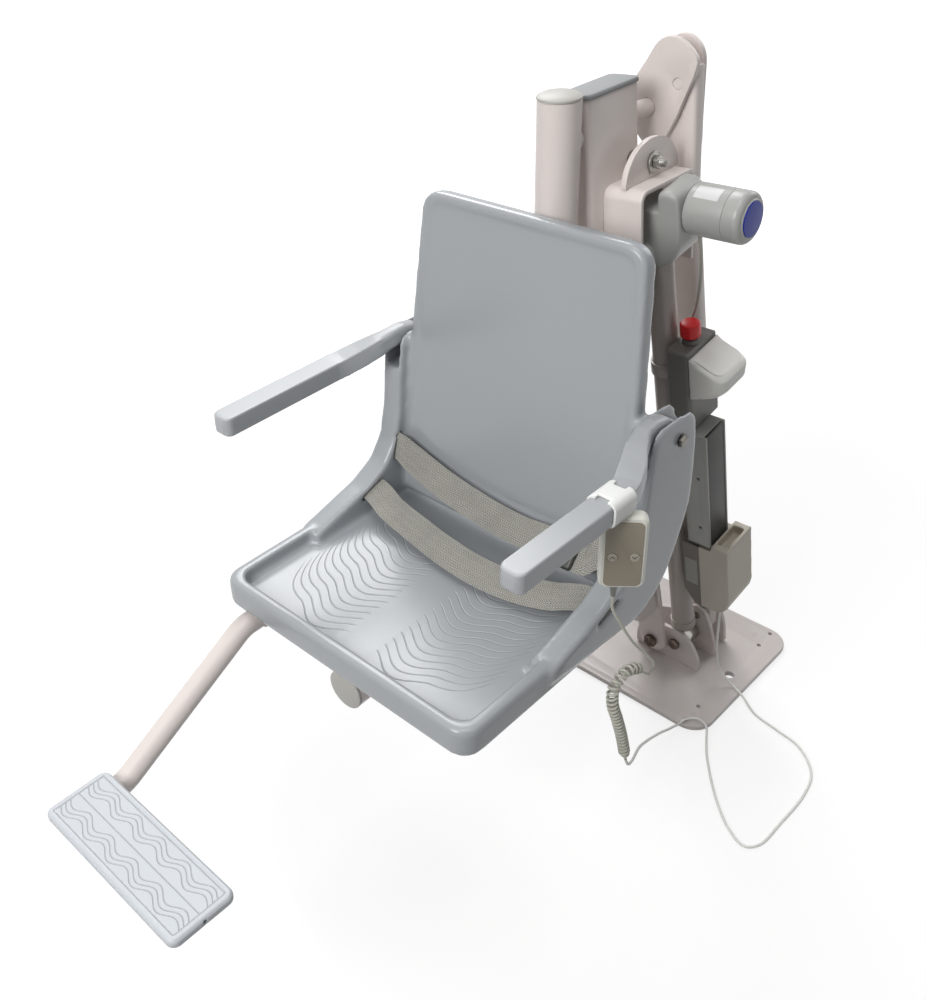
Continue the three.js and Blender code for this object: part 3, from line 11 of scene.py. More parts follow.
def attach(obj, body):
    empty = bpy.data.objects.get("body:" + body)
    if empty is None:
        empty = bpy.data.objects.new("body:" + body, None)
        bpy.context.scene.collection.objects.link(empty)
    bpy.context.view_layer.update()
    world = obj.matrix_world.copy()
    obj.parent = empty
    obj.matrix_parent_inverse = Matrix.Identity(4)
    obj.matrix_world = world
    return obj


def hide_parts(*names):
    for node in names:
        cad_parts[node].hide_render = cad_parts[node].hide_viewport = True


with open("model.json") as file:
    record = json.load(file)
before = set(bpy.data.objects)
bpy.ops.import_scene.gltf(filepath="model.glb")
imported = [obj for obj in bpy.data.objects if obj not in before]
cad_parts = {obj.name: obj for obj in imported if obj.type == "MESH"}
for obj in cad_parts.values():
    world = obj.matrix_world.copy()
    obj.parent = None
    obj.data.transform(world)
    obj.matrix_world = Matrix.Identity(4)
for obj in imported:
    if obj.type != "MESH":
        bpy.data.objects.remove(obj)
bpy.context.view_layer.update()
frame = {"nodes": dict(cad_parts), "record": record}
NODES = frame["nodes"]
BODY = {n: b for b, members in frame["record"]["behaviour"]["bodies"].items() for n in members}
SCENE = bpy.context.scene
MM = 0.001
# the CAD's own frame is moved so that the middle of the base plate's underside is the origin
ORIGIN = np.array([-2.0, 297.0, 0.0])
UP = np.array([0, 0, 1.0])
ASIDE = np.array([1.0, 0, 0])
# pieces that seat on each other stand this far apart, in millimetres
GAP = 0.3


def points(rows):
    """Points given in the drawing's millimetres, as metres in the row frame."""
    return (np.array(rows, float) - ORIGIN) * MM


def at(x, y, z):
    """One point given in the drawing's millimetres."""
    return points((x, y, z))


def unit(rows):
    """A vector, or each row of several, brought to length one."""
    return rows / np.linalg.norm(rows, axis=-1, keepdims=True)


def link(name, data):
    """An object in the scene for a mesh, curve, lamp or camera."""
    made = bpy.data.objects.new(name, data)
    SCENE.collection.objects.link(made)
    return made


# Camera: its place, turn and lens come from matched points of the object
EYE = (901.07, -1218.15, 1548.74)
YAW, PITCH, ROLL = (math.radians(angle) for angle in (48.2675, 31.6914, -4.5465))
SENSOR, LENS, SHIFT = 36, 40.39, (0.1113, -0.0671)
FARTHEST = 60


def place_camera():
    """The view follows from yaw and pitch; the picture's right and up are turned about it by the roll."""
    view = Vector((-math.sin(YAW) * math.cos(PITCH), math.cos(YAW) * math.cos(PITCH), -math.sin(PITCH)))
    side = Vector((math.cos(YAW), math.sin(YAW), 0))
    top = side.cross(view)
    right = side * math.cos(ROLL) + top * math.sin(ROLL)
    up = -side * math.sin(ROLL) + top * math.cos(ROLL)
    data = bpy.data.cameras.new("camera")
    data.sensor_width = SENSOR
    data.lens = LENS
    data.shift_x, data.shift_y = SHIFT
    data.clip_end = FARTHEST
    turn = Matrix((right, up, -view)).transposed().to_4x4()
    turn.translation = Vector(at(*EYE))
    SCENE.camera = link("camera", data)
    SCENE.camera.matrix_world = turn


place_camera()

# The ram's and the handset's own frames
RAM_FOOT = at(110, 296, 51)
RAM_HEAD = at(80, 140, 900)
RAM_Z = unit(RAM_HEAD - RAM_FOOT)
RAM_X = unit(ASIDE - RAM_Z * RAM_Z[0])
RAM_Y = np.cross(RAM_Z, RAM_X)
HAND = at(278, -213, 641)
HAND_TURN = 0.7
HAND_X = np.array([math.cos(HAND_TURN), math.sin(HAND_TURN), 0])
HAND_Y = np.array([-math.sin(HAND_TURN), math.cos(HAND_TURN), 0])
# the motor's axis runs along the ram's x at this y and z
MOTOR_Y, MOTOR_Z, MOTOR_R = 10, 922, 37


def placed(origin, axes, x, y, z):
    """Origin + x, y and z millimetres along three axes; numbers or arrays that fit each other."""
    return origin + sum(np.multiply.outer(far, axis) for far, axis in zip((x, y, z), axes)) * MM


def ram(x, y, z):
    """Points given in millimetres along the ram's own axes."""
    return placed(RAM_FOOT, (RAM_X, RAM_Y, RAM_Z), x, y, z)


def hand(x, y, z):
    """Points given in millimetres along the handset's own axes."""
    return placed(HAND, (HAND_X, HAND_Y, UP), x, y, z)


def about_motor(x, r, angle):
    """Points round the motor's axis: y = axis + r cos angle, z = axis + r sin angle."""
    return ram(x, MOTOR_Y + r * np.cos(angle), MOTOR_Z + r * np.sin(angle))


# Materials: lengths in metres in the row frame, colours in hex digits
DUST, CHIP = "E8EAEA", "8A7F7A"


def lin(code):
    """A colour written as six hex digits, as linear red, green, blue and alpha."""
    part = [int(code[i:i + 2], 16) / 255 for i in (0, 2, 4)]
    return [c / 12.92 if c <= 0.04045 else ((c + 0.055) / 1.055) ** 2.4 for c in part] + [1.0]


class Tree:
    """Shader nodes made step by step: most calls add a node and return its output socket."""

    def __init__(self, owner):
        owner.use_nodes = True
        self.tree = owner.node_tree
        self.tree.nodes.clear()

    def feed(self, socket, value):
        """An input takes another node's output, a plain value, or a colour in hex digits."""
        if isinstance(value, bpy.types.NodeSocket):
            self.tree.links.new(value, socket)
        else:
            socket.default_value = lin(value) if isinstance(value, str) else value

    def node(self, kind, inputs=None, **settings):
        """A node with its settings, and with its inputs given by number or name."""
        made = self.tree.nodes.new(kind)
        for key, value in settings.items():
            setattr(made, key, value)
        for key, value in (inputs or {}).items():
            self.feed(made.inputs[key], value)
        return made

    def math(self, kind, a, b=0.0, c=0.0, **settings):
        """One step of reckoning on outputs or numbers."""
        return self.node("ShaderNodeMath", {0: a, 1: b, 2: c}, operation=kind, **settings).outputs[0]

    def times(self, a, b):
        """The product."""
        return self.math("MULTIPLY", a, b)

    def plus(self, a, b):
        """The sum."""
        return self.math("ADD", a, b)

    def minus(self, a, b):
        """The difference."""
        return self.math("SUBTRACT", a, b)

    def most(self, a, b):
        """The larger of the two."""
        return self.math("MAXIMUM", a, b)

    def size(self, a):
        """The value without its sign."""
        return self.math("ABSOLUTE", a)

    def band(self, value, low, high, a=0.0, b=1.0):
        """A smooth step from a, where the value is low, to b, where it is high."""
        inputs = {0: value, 1: low, 2: high, 3: a, 4: b}
        return self.node("ShaderNodeMapRange", inputs, interpolation_type="SMOOTHSTEP").outputs[0]

    def line(self, far, core, edge):
        """One within the core of a line, falling to nothing at its edge."""
        return self.band(far, core, edge, 1.0, 0.0)


class Mat(Tree):
    """A surface over a Principled shader, with its patterns on the piece's Object coordinates."""

    def __init__(self, name, rough=0.5, metallic=0.0, specular=0.5, sheen=0.0):
        self.material = bpy.data.materials.new(name)
        super().__init__(self.material)
        inputs = {"Roughness": rough, "Metallic": metallic, "Specular IOR Level": specular}
        self.shader = self.node("ShaderNodeBsdfPrincipled", {**inputs, "Sheen Weight": sheen})
        self.node("ShaderNodeOutputMaterial", {0: self.shader.outputs[0]})
        coords = self.node("ShaderNodeTexCoord")
        self.place = coords.outputs["Object"]
        self.uv = coords.outputs["UV"]

    def stretched(self, scale, turn=(0, 0, 0)):
        """The piece's own place, turned and stretched."""
        return self.node("ShaderNodeMapping", {0: self.place, 2: turn, 3: scale}).outputs[0]

    def noise(self, scale, detail=3.0, rough=0.5, source=None):
        """Soft noise from 0 to 1, with its scale in waves to the metre."""
        inputs = {"Vector": source or self.place, "Scale": scale, "Detail": detail, "Roughness": rough}
        return self.node("ShaderNodeTexNoise", inputs).outputs["Fac"]

    def parts(self, source=None):
        """The x, y and z of a place."""
        return self.node("ShaderNodeSeparateXYZ", {0: source or self.place}).outputs[:3]

    def far_along(self, origin, direction):
        """How far the place lies from an origin along a direction, in metres."""
        inputs = {0: self.place, 1: tuple(direction)}
        along = self.node("ShaderNodeVectorMath", inputs, operation="DOT_PRODUCT").outputs[1]
        return self.minus(along, float(np.dot(origin, direction)))

    def mix(self, share, a, b):
        """A share of colour b in colour a."""
        return self.node("ShaderNodeMix", {0: share, 6: a, 7: b}, data_type="RGBA").outputs[2]

    def drift(self, share, tone, shade):
        """A tone that drifts to a shade over broad patches."""
        patches = self.band(self.noise(scale=3.0, detail=1.0, rough=0.4), 0.25, 0.75)
        return self.mix(self.times(patches, share), tone, shade)

    def colour(self, value):
        """The surface's colour."""
        self.feed(self.shader.inputs["Base Color"], value)

    def tint(self, share, code):
        """A share of another colour laid over the surface's own."""
        self.colour(self.mix(share, self.shader.inputs["Base Color"].links[0].from_socket, code))

    def rough(self, value):
        """The surface's roughness."""
        self.feed(self.shader.inputs["Roughness"], value)

    def relief(self, height, depth, share=1.0):
        """Relief of a depth in metres, on top of what relief the surface has."""
        normal = self.shader.inputs["Normal"]
        made = self.node("ShaderNodeBump", {"Strength": share, "Distance": depth, "Height": height})
        if normal.is_linked:
            self.feed(made.inputs["Normal"], normal.links[0].from_socket)
        self.feed(normal, made.outputs[0])


def moulded(name, tone, shade, rough=0.36, grain=0.00006, marks=0.5, specular=0.5):
    """Moulded plastic: a tone drift, a fine grain, and light scuffs that dull the gloss."""
    m = Mat(name, specular=specular)
    fine = m.noise(scale=900.0, detail=2.0, rough=0.6)
    streaks = m.stretched((1.0, 6.0, 2.5), turn=(0.3, 0.5, 0.2))
    scuff = m.band(m.noise(scale=60.0, detail=6.0, rough=0.7, source=streaks), 0.56, 0.80)
    gloss = m.band(m.noise(scale=14.0, detail=1.0), 0.2, 0.8, rough - 0.015, rough + 0.025)
    m.colour(m.mix(m.times(scuff, 0.04 * marks), m.drift(0.55, tone, shade), DUST))
    m.rough(m.plus(m.times(scuff, 0.10 * marks), gloss))
    m.relief(fine, grain)
    return m


def powder(name, tone, shade, rough=0.42, peel=0.00012):
    """Powder coat on steel: orange-peel waves, a faint tone drift and small chips."""
    m = Mat(name, specular=0.5)
    peel_wave = m.noise(scale=420.0, detail=2.0, rough=0.5)
    chip = m.band(m.noise(scale=170.0, detail=5.0, rough=0.75), 0.735, 0.76)
    m.colour(m.mix(m.times(chip, 0.35), m.drift(0.6, tone, shade), CHIP))
    m.rough(m.band(m.noise(scale=20.0, detail=1.5), 0.2, 0.8, rough - 0.03, rough + 0.04))
    m.relief(peel_wave, peel)
    return m


def steel(name, tone, shade, rough=0.34, stretch=(1, 1, 1)):
    """Worked steel: fine tool lines along the piece, and patches of tarnish that dull and darken it."""
    m = Mat(name, metallic=1.0)
    lines = m.noise(scale=240.0, detail=3.0, rough=0.6, source=m.stretched(stretch))
    tarnish = m.band(m.noise(scale=45.0, detail=5.0, rough=0.65), 0.42, 0.66)
    m.colour(m.mix(tarnish, tone, shade))
    m.rough(m.plus(m.times(tarnish, 0.18), m.band(lines, 0.3, 0.7, rough - 0.06, rough + 0.06)))
    m.relief(lines, 0.00004)
    return m


def seat_material():
    """Seat plastic: nested wavy grooves on the pan's two halves, mirrored about its middle, painted lighter
    as a painted highlight along them, and a sunk band.

    With u = |x|, a groove runs where y - wave sin(rate u + start) - turn (u - turn_from)^2 is a whole
    number of steps. Pairs are the places where a stretch begins and ends to fade.
    """
    m = moulded("seat_plastic", "A5A9AD", "A0A4A8", rough=0.24, grain=0.00005, marks=0.06)
    step, groove = 0.0165, 0.11
    wave, rate, start = 0.014, 52.0, 0.6
    turn, turn_from = 26.0, 0.135
    inner, outer, centre_side = (0.026, 0.036), (0.196, 0.186), (0.036, 0.026)
    front, back, centre_front = (-0.742, -0.738), (-0.470, -0.480), (-0.752, -0.744)
    pan_top = (0.470, 0.466)
    x, y, z = m.parts()
    u = m.size(m.minus(x, float(at(0, 0, 0)[0])))
    waved = m.times(m.math("SINE", m.math("MULTIPLY_ADD", u, rate, start)), wave)
    turned_in = m.times(m.math("POWER", m.most(m.minus(u, turn_from), 0.0), 2.0), turn)
    back_to_front = m.minus(m.minus(y, waved), turned_in)
    from_groove = m.size(m.minus(m.math("FRACT", m.times(back_to_front, 1 / step)), 0.5))
    inside = m.times(m.band(u, *inner), m.band(u, *outer))
    inside = m.times(inside, m.times(m.band(back_to_front, *front), m.band(back_to_front, *back)))
    inside = m.times(inside, m.band(z, *pan_top))
    grooves = m.times(m.line(from_groove, 0.0, groove), inside)
    centre = m.times(m.band(u, *centre_side), m.times(m.band(y, *centre_front), m.band(z, *pan_top)))
    m.relief(m.minus(m.times(grooves, -1.0), m.times(centre, 0.3)), depth=0.0008, share=0.8)
    # the grooves are painted lighter: a painted highlight along each groove
    m.tint(m.times(grooves, 0.3), "D5D9DC")
    return m


def foot_material():
    """Footrest plastic: six wavy grooves in two threes, a straight line between them and an inset border,
    all sunk and painted darker as painted shade in them.

    A groove runs where w = spot + sway sin(2 pi u / wave), with u along the plate and w across it.
    """
    m = moulded("footrest_plastic", "CCD0D5", "C4C9CE", rough=0.42, grain=0.00005, marks=0.2)
    middle = at(-44, -811, 0)
    spots, sway, wave = (-0.030, -0.0225, -0.0145, 0.0145, 0.0225, 0.030), 0.0055, 0.054
    border_u, border_w, edge = 0.1375, 0.0405, 0.001
    wide, narrow = (0.0002, 0.0012), (0.0002, 0.0011)
    top = (0.328, 0.330)
    x, y, z = m.parts()
    u = m.minus(x, float(middle[0]))
    w = m.minus(y, float(middle[1]))
    off_u, off_w = m.size(u), m.size(w)
    across = m.minus(w, m.times(m.math("SINE", m.times(u, 2 * math.pi / wave)), sway))
    found = 0.0
    for spot in spots:
        found = m.most(found, m.line(m.size(m.minus(across, spot)), *wide))
    found = m.times(found, m.band(off_w, border_w - edge, border_w - 2 * edge))
    found = m.most(found, m.line(off_w, *narrow))
    found = m.times(found, m.band(off_u, border_u + edge, border_u - edge / 2))
    end_lines = m.line(m.size(m.minus(off_u, border_u)), *narrow)
    side_lines = m.line(m.size(m.minus(off_w, border_w)), *narrow)
    end_lines = m.times(end_lines, m.band(off_w, border_w + edge, border_w))
    side_lines = m.times(side_lines, m.band(off_u, border_u + edge, border_u))
    found = m.times(m.most(found, m.most(end_lines, side_lines)), m.band(z, *top))
    m.relief(found, depth=-0.001, share=0.9)
    # the grooves, the line and the border are painted darker: painted shade in the recesses
    m.tint(m.times(found, 0.3), "9A9FA3")
    return m


def belt_material():
    """Webbing: height = sin(rate (u + zigzag of w)) + 0.35 sin(rate w), u along and w across, painted shade
    in its low places, and dirt.
    """
    m = Mat("belt_webbing", rough=0.86, sheen=0.25, specular=0.2)
    yarn, spread, zigzag = 0.0017, 2.2, 0.0058
    rate = 2 * math.pi / (spread * yarn)
    u, w, _ = m.parts(m.uv)
    twill = m.math("SINE", m.plus(m.times(u, rate), m.times(m.math("PINGPONG", w, zigzag), rate)))
    height = m.math("MULTIPLY_ADD", m.math("SINE", m.times(w, rate)), 0.35, twill)
    dirt = m.band(m.noise(scale=26.0, detail=4.0, rough=0.6), 0.35, 0.7)
    worn = m.mix(m.times(dirt, 0.6), "B9B7B0", "A8A69F")
    # the weave's low places are painted darker: painted shade between the yarns, over the dirt colour
    m.colour(m.mix(m.band(height, -1.2, 1.1, 0.75, 0.0), worn, "6C6963"))
    m.relief(height, depth=0.0004)
    return m


def two_tone(name, tone, shade, other, origin, direction, where, rough=0.46):
    """Moulded plastic in two colours that meet in a fine sunk line across a direction."""
    m = moulded(name, tone, shade, rough)
    blend, line_core, line_edge = 0.0002, 0.0003, 0.0009
    far = m.far_along(origin, direction)
    m.tint(m.band(far, where - blend, where + blend), other)
    m.relief(m.band(m.size(m.minus(far, where)), line_core, line_edge, -1.0, 0.0), depth=0.0007)
    return m


def key_material(name, side):
    """A round key in the handset's tone with a small dark arrow head pointing up or down.

    With x out from the key's middle and z up from it, the arrow's stroke runs where x - tip = side z.
    """
    m = moulded(name, "B7B0A2", "ADA698", rough=0.42)
    key_x, key_z, tip = side * 0.014, -0.004, 0.0014
    stroke, arm = (0.0007, 0.0010), (0.0031, 0.0034)
    x = m.size(m.minus(m.far_along(HAND, HAND_X), key_x))
    z = m.minus(m.far_along(HAND, UP), key_z)
    from_stroke = m.size(m.plus(m.times(z, -side), m.minus(x, tip)))
    m.tint(m.times(m.line(from_stroke, *stroke), m.line(x, *arm)), "1E1D1A")
    return m


MATS = {
    "frame": powder("frame_paint", "E4DBD7", "DCD2CE", rough=0.34),
    "base": powder("base_paint", "D3CBC8", "C6BEBB", rough=0.3),
    "rest": moulded("armrest_plastic", "B0B3B6", "A9ACAF", rough=0.34, grain=0.00005, marks=0.15),
    "cap": moulded("post_cap_plastic", "B9B7B2", "AFADA8", rough=0.5),
    "arm_cap": moulded("arm_cap_plastic", "8E9092", "838688", rough=0.55),
    "motor": powder("motor_paint", "ADAEAB", "A4A5A1", rough=0.34, peel=0.00008),
    "dark": moulded("dark_plastic", "767570", "6A6964", rough=0.5),
    "black": moulded("black_plastic", "3A3A36", "2E2E2B", rough=0.42),
    "cream": moulded("cream_plastic", "F1F0EA", "E8E7E0", rough=0.42),
    "cover_face": moulded("cover_face_plastic", "F4F3EE", "EDECE6", rough=0.4, grain=0.00003, marks=0.3),
    "rail": powder("rail_paint", "A6A6A1", "979791", rough=0.4, peel=0.00005),
    "strip": moulded("strip_plastic", "21211F", "1B1B19", rough=0.5),
    "red": moulded("red_plastic", "F0272D", "E01F25", rough=0.32, grain=0.00002, marks=0.2, specular=0.35),
    "clip": moulded("clip_plastic", "F7F8F6", "EEEFEC", rough=0.42),
    "bolt": steel("bolt_steel", "7A6E66", "4E443D", rough=0.38),
    "zinc": steel("zinc_steel", "A6A4A0", "6F6C68", rough=0.32),
    "pin": steel("pin_steel", "77746F", "55524E", rough=0.4),
    "blue": moulded("blue_plate", "0B2FA8", "0A2896", rough=0.32, grain=0.00001, marks=0.2, specular=0.25),
    "plate": moulded("bare_plate", "DADBDB", "D2D3D3", rough=0.35, grain=0.00001, marks=0.2),
    "grey_plate": moulded("bare_grey_plate", "8F8E88", "83827C", rough=0.4, grain=0.00001, marks=0.3),
    "ram": powder("ram_paint", "B5ADA6", "A8A099", rough=0.34, peel=0.00006),
    "rod": steel("rod_steel", "B9B6B0", "9A968F", rough=0.2, stretch=(1, 1, 0.15)),
    "cord": moulded("cord_plastic", "F4F3EF", "E8E7E1", rough=0.5, grain=0.00002, marks=0.2),
    "coil": moulded("coil_plastic", "BDBCB1", "AEADA1", rough=0.5, grain=0.00002, marks=0.2),
    "lower": two_tone("box_plastic", "625B53", "5A534B", "C2BAAC", RAM_FOOT, RAM_X, 0.064),
    "hand": two_tone("handset_plastic", "968D7D", "8C8373", "EDECE3", HAND, HAND_Y, -0.0113, rough=0.42),
    "key_up": key_material("key_up_plastic", -1),
    "key_down": key_material("key_down_plastic", 1),
    "seat": seat_material(),
    "foot": foot_material(),
    "belt": belt_material(),
}

# Ways of making a piece
BEVEL_FROM, CREASE, SOFT_CREASE = 34, 32, 60
MERGED, COPLANAR, STEEP, SPLINE_STEPS = 1e-6, 0.012, 0.2, 24


def smoothed(obj, crease=CREASE):
    """Smooth faces, with the creases sharper than the given angle kept."""
    obj.data.polygons.foreach_set("use_smooth", np.ones(len(obj.data.polygons), bool))
    obj.data.set_sharp_from_angle(angle=math.radians(crease))
    obj.data.update()


def settled(obj):
    """The modifiers' result takes the place of the mesh."""
    graph = bpy.context.evaluated_depsgraph_get()
    made = bpy.data.meshes.new_from_object(obj.evaluated_get(graph))
    obj.modifiers.clear()
    obj.data = made


def outward(obj):
    """The mesh with all its faces pointing outwards."""
    bm = bmesh.new()
    bm.from_mesh(obj.data)
    bmesh.ops.recalc_face_normals(bm, faces=bm.faces)
    bm.to_mesh(obj.data)
    bm.free()


def dress(obj, mat, node, stands=True):
    """The piece takes a material, rides on its node's body and may stand for the node."""
    obj.data.materials.clear()
    obj.data.materials.append(MATS[mat].material)
    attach(obj, BODY[node])
    if stands:
        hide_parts(node)


def from_arrays(name, verts, faces):
    """An object from its corners and faces."""
    mesh = bpy.data.meshes.new(name)
    mesh.from_pydata(np.asarray(verts, float).tolist(), [], faces)
    mesh.update()
    return link(name, mesh)


def closed(name, verts, faces):
    """A smooth object from the corners and faces of a closed form."""
    obj = from_arrays(name, verts, faces)
    outward(obj)
    smoothed(obj)
    return obj


def solid_copy(name, node):
    """The solid's own mesh with its flat triangles merged into whole faces."""
    bm = bmesh.new()
    bm.from_mesh(NODES[node].data)
    bmesh.ops.remove_doubles(bm, verts=bm.verts, dist=MERGED)
    bmesh.ops.dissolve_limit(bm, angle_limit=COPLANAR, verts=bm.verts, edges=bm.edges)
    bmesh.ops.recalc_face_normals(bm, faces=bm.faces)
    mesh = bpy.data.meshes.new(name)
    bm.to_mesh(mesh)
    bm.free()
    return link(name, mesh)


def machined(node, mat, edge=0.8, steps=3):
    """A plate or machined piece: the solid with its sharp edges rounded, by so many millimetres."""
    obj = solid_copy(node + "_finish", node)
    bevel = obj.modifiers.new("edges", "BEVEL")
    bevel.width = edge * MM
    bevel.segments = steps
    bevel.limit_method = "ANGLE"
    bevel.angle_limit = math.radians(BEVEL_FROM)
    bevel.use_clamp_overlap = True
    settled(obj)
    smoothed(obj)
    dress(obj, mat, node)


def block(frame_of, x, y, z):
    """The corners and faces of a block in one of the frames, from its low and high x, y and z."""
    verts = [frame_of(a, b, c) for a in x for b in y for c in z]
    return verts, [(0, 1, 3, 2), (4, 6, 7, 5), (0, 4, 5, 1), (2, 3, 7, 6), (0, 2, 6, 4), (1, 5, 7, 3)]


def skin(rings):
    """The corners and faces of a closed skin over rings of points, flat over the first and last ring."""
    rings = np.asarray(rings, float)
    ids = np.arange(rings.shape[0] * rings.shape[1]).reshape(rings.shape[:2])
    after = np.roll(ids, -1, axis=1)
    sides = np.stack([ids[:-1], after[:-1], after[1:], ids[1:]], axis=2).reshape(-1, 4)
    return rings.reshape(-1, 3), sides.tolist() + [ids[0, ::-1].tolist(), ids[-1].tolist()]


def cast(node, mat, pitch, rounds, extra=(), own=True, cuts=()):
    """A moulded piece: a form is rebuilt on an even grid, and rounds of smoothing let its corners flow.

    The form is the solid, where its own mesh counts, with any extra volumes, less any cuts.
    """
    obj = solid_copy(node + "_cast", node)
    bm = bmesh.new()
    if own:
        bm.from_mesh(obj.data)
    for verts, faces in extra:
        made = [bm.verts.new(tuple(p)) for p in verts]
        for face in faces:
            bm.faces.new([made[i] for i in face])
    bmesh.ops.recalc_face_normals(bm, faces=bm.faces)
    bm.to_mesh(obj.data)
    bm.free()
    for verts, faces in cuts:
        tool = from_arrays("cutter", verts, faces)
        outward(tool)
        away = obj.modifiers.new("cut", "BOOLEAN")
        away.operation = "DIFFERENCE"
        away.object = tool
        settled(obj)
        bpy.data.objects.remove(tool)
    grid = obj.modifiers.new("grid", "REMESH")
    grid.mode = "VOXEL"
    grid.voxel_size = pitch * MM
    flow = obj.modifiers.new("flow", "SMOOTH")
    flow.factor = 0.5
    flow.iterations = rounds
    settled(obj)
    smoothed(obj, SOFT_CREASE)
    dress(obj, mat, node)


def square_to(direction):
    """A direction square to another, and level unless that one is steep."""
    side = np.cross(direction, UP)
    if np.linalg.norm(side) < STEEP:
        side = np.cross(direction, ASIDE)
    return unit(side)


def circle(sides):
    """The cosine and sine of a full turn in even steps, as columns."""
    a = np.linspace(0, 2 * math.pi, sides, endpoint=False)[:, None]
    return np.cos(a), np.sin(a)


def frame_along(path):
    """For each point of a path its direction and two directions across it, carried along without twist."""
    ahead = np.empty_like(path)
    ahead[1:-1] = path[2:] - path[:-2]
    ahead[0] = path[1] - path[0]
    ahead[-1] = path[-1] - path[-2]
    ahead = unit(ahead)
    side = np.empty_like(path)
    side[0] = square_to(ahead[0])
    for i in range(1, len(path)):
        side[i] = unit(side[i - 1] - ahead[i] * np.dot(side[i - 1], ahead[i]))
    return ahead, side, np.cross(ahead, side)


def strides(path):
    """The distance from each point of a path to the next."""
    return np.linalg.norm(np.diff(path, axis=0), axis=1)


def reach(path):
    """How far along a path each of its points lies."""
    return np.concatenate([[0], np.cumsum(strides(path))])


def pipe(name, path, radius, sides, edge):
    """A round tube with broken end edges, square to its path: centre + r (cos a side + sin a up)."""
    first, last = unit(path[1] - path[0]), unit(path[-1] - path[-2])
    path = np.vstack([path[0], path[0] + first * edge, path[1:-1], path[-1] - last * edge, path[-1]])
    radii = np.full((len(path), 1, 1), radius)
    radii[[0, -1]] -= edge
    _, side, up = frame_along(path)
    cos, sin = circle(sides)
    return closed(name, *skin(path[:, None] + radii * (cos * side[:, None] + sin * up[:, None])))


def lathe(name, profile, start, direction, sides=96):
    """A turned piece, from radii and heights in mm: start + h direction + r (cos a side + sin a up)."""
    side = square_to(direction)
    cos, sin = circle(sides)
    r, h = (np.array(profile) * MM).T[:, :, None, None]
    return closed(name, *skin(start + direction * h + r * (cos * side + sin * np.cross(direction, side))))


def rounding(r, h, edge, low=False, steps=6):
    """The rounded corner of a turned profile, from side to top or from bottom to side."""
    a = np.linspace(0, math.pi / 2, steps)
    if low:
        return [(r - edge + edge * math.sin(t), h + edge - edge * math.cos(t)) for t in a]
    return [(r - edge + edge * math.cos(t), h - edge + edge * math.sin(t)) for t in a]


def bent(corners, radius, steps=16):
    """A path of straight runs joined by arcs of one radius, about centres on the corners' bisectors."""
    out = [corners[0]]
    for before, p, after in zip(corners, corners[1:], corners[2:]):
        a, b = unit(before - p), unit(after - p)
        half = math.acos(np.dot(a, b)) / 2
        start, end = p + a * radius / math.tan(half), p + b * radius / math.tan(half)
        centre = p + unit(a + b) * radius / math.sin(half)
        for k in range(steps + 1):
            out.append(centre + unit(start + (end - start) * k / steps - centre) * radius)
    return np.array(out + [corners[-1]])


def between(t, t0, a, t1, b):
    """The point between a and b that t marks between t0 and t1."""
    return (t1 - t) / (t1 - t0) * a + (t - t0) / (t1 - t0) * b


def spline(rows, count):
    """A smooth curve through a list of points, evenly spaced along its length.

    Four neighbours at a time are blended in three rounds, with knots apart by the roots of their distances.
    """
    p = np.asarray(rows, float)
    p = np.vstack([2 * p[0] - p[1], p, 2 * p[-1] - p[-2]])
    knots = np.maximum(strides(p[:, :3]), 1e-9) ** 0.5
    out = []
    for i in range(1, len(p) - 2):
        p0, p1, p2, p3 = p[i - 1:i + 3]
        t0, t1, t2, t3 = np.concatenate([[0], np.cumsum(knots[i - 1:i + 2])])
        t = np.linspace(t1, t2, SPLINE_STEPS, endpoint=False)[:, None]
        a1, a2, a3 = between(t, t0, p0, t1, p1), between(t, t1, p1, t2, p2), between(t, t2, p2, t3, p3)
        b1, b2 = between(t, t0, a1, t2, a2), between(t, t1, a2, t3, a3)
        out.append(between(t, t1, b1, t2, b2))
    out = np.vstack(out + [p[-2][None]])
    run = reach(out[:, :3])
    spots = np.linspace(0, run[-1], count)
    return np.stack([np.interp(spots, run, column) for column in out.T], axis=1)


# Cords: routes and places in millimetres, radii and straight runs in metres
LEAD_ROUTE = [[282, -211, 516], [292, -191, 474], [302, -168, 440], [307, -158, 420], [306, -166, 408]]
COIL_ROUTE = [[304, -184, 424], [303, -199, 440], [301, -221, 447], [299, -242, 434], [299, -244, 406],
              [300, -231, 366], [300, -215, 318], [300, -200, 262]]
TAIL_ROUTE = [[300, -190, 240], [298, -176, 236], [294, -158, 238], [286, -136, 224], [272, -98, 192],
              [258, -52, 156], [244, 0, 116], [230, 50, 74], [219, 90, 42], [213, 118, 22], [212, 142, 14],
              [226, 158, 13.4], [246, 154, 13], [262, 130, 8], [279, 104, 3], [340, 31, 3], [387, -9, 3],
              [421, -22, 3], [437, -4, 3], [441, 56, 3], [441, 136, 3], [428, 186, 3], [385, 226, 3],
              [340, 236, 3], [290, 246, 3], [256, 262, 12], [232, 272, 14], [208, 268, 34], [198, 258, 90]]
WIRE, MOTOR_WIRE = 2.1 * MM, 2.1 * MM * 1.15
# the curls: how many, their steps and radius, and how many of them grow in at each end
CURLS, CURL_STEPS, CURL_R, FADE = 30, 24, 6.6 * MM, 2.2
# how far a cord runs straight out of the handset and the lower box, the motor, and the upper box
STUB, MOTOR_STUB, BACK_STUB = 20 * MM, 10 * MM, 14 * MM
# where a cord leaves the handset's relief, and in the ram's frame the lower box, the motor and the upper box
HAND_HALF, RELIEF_X, RELIEF_LONG = 57, -8, 20
BOX_LOW_X, BOX_LOW_Y, BOX_LOW_Z = 88, -15, 150
MOTOR_LEAD_X = 62
BOX_BACK = (29, 30, 697.4)
MOTOR_ROUTE = [(61, 13, 850), (55, 18, 800), (41, 26, 745)]


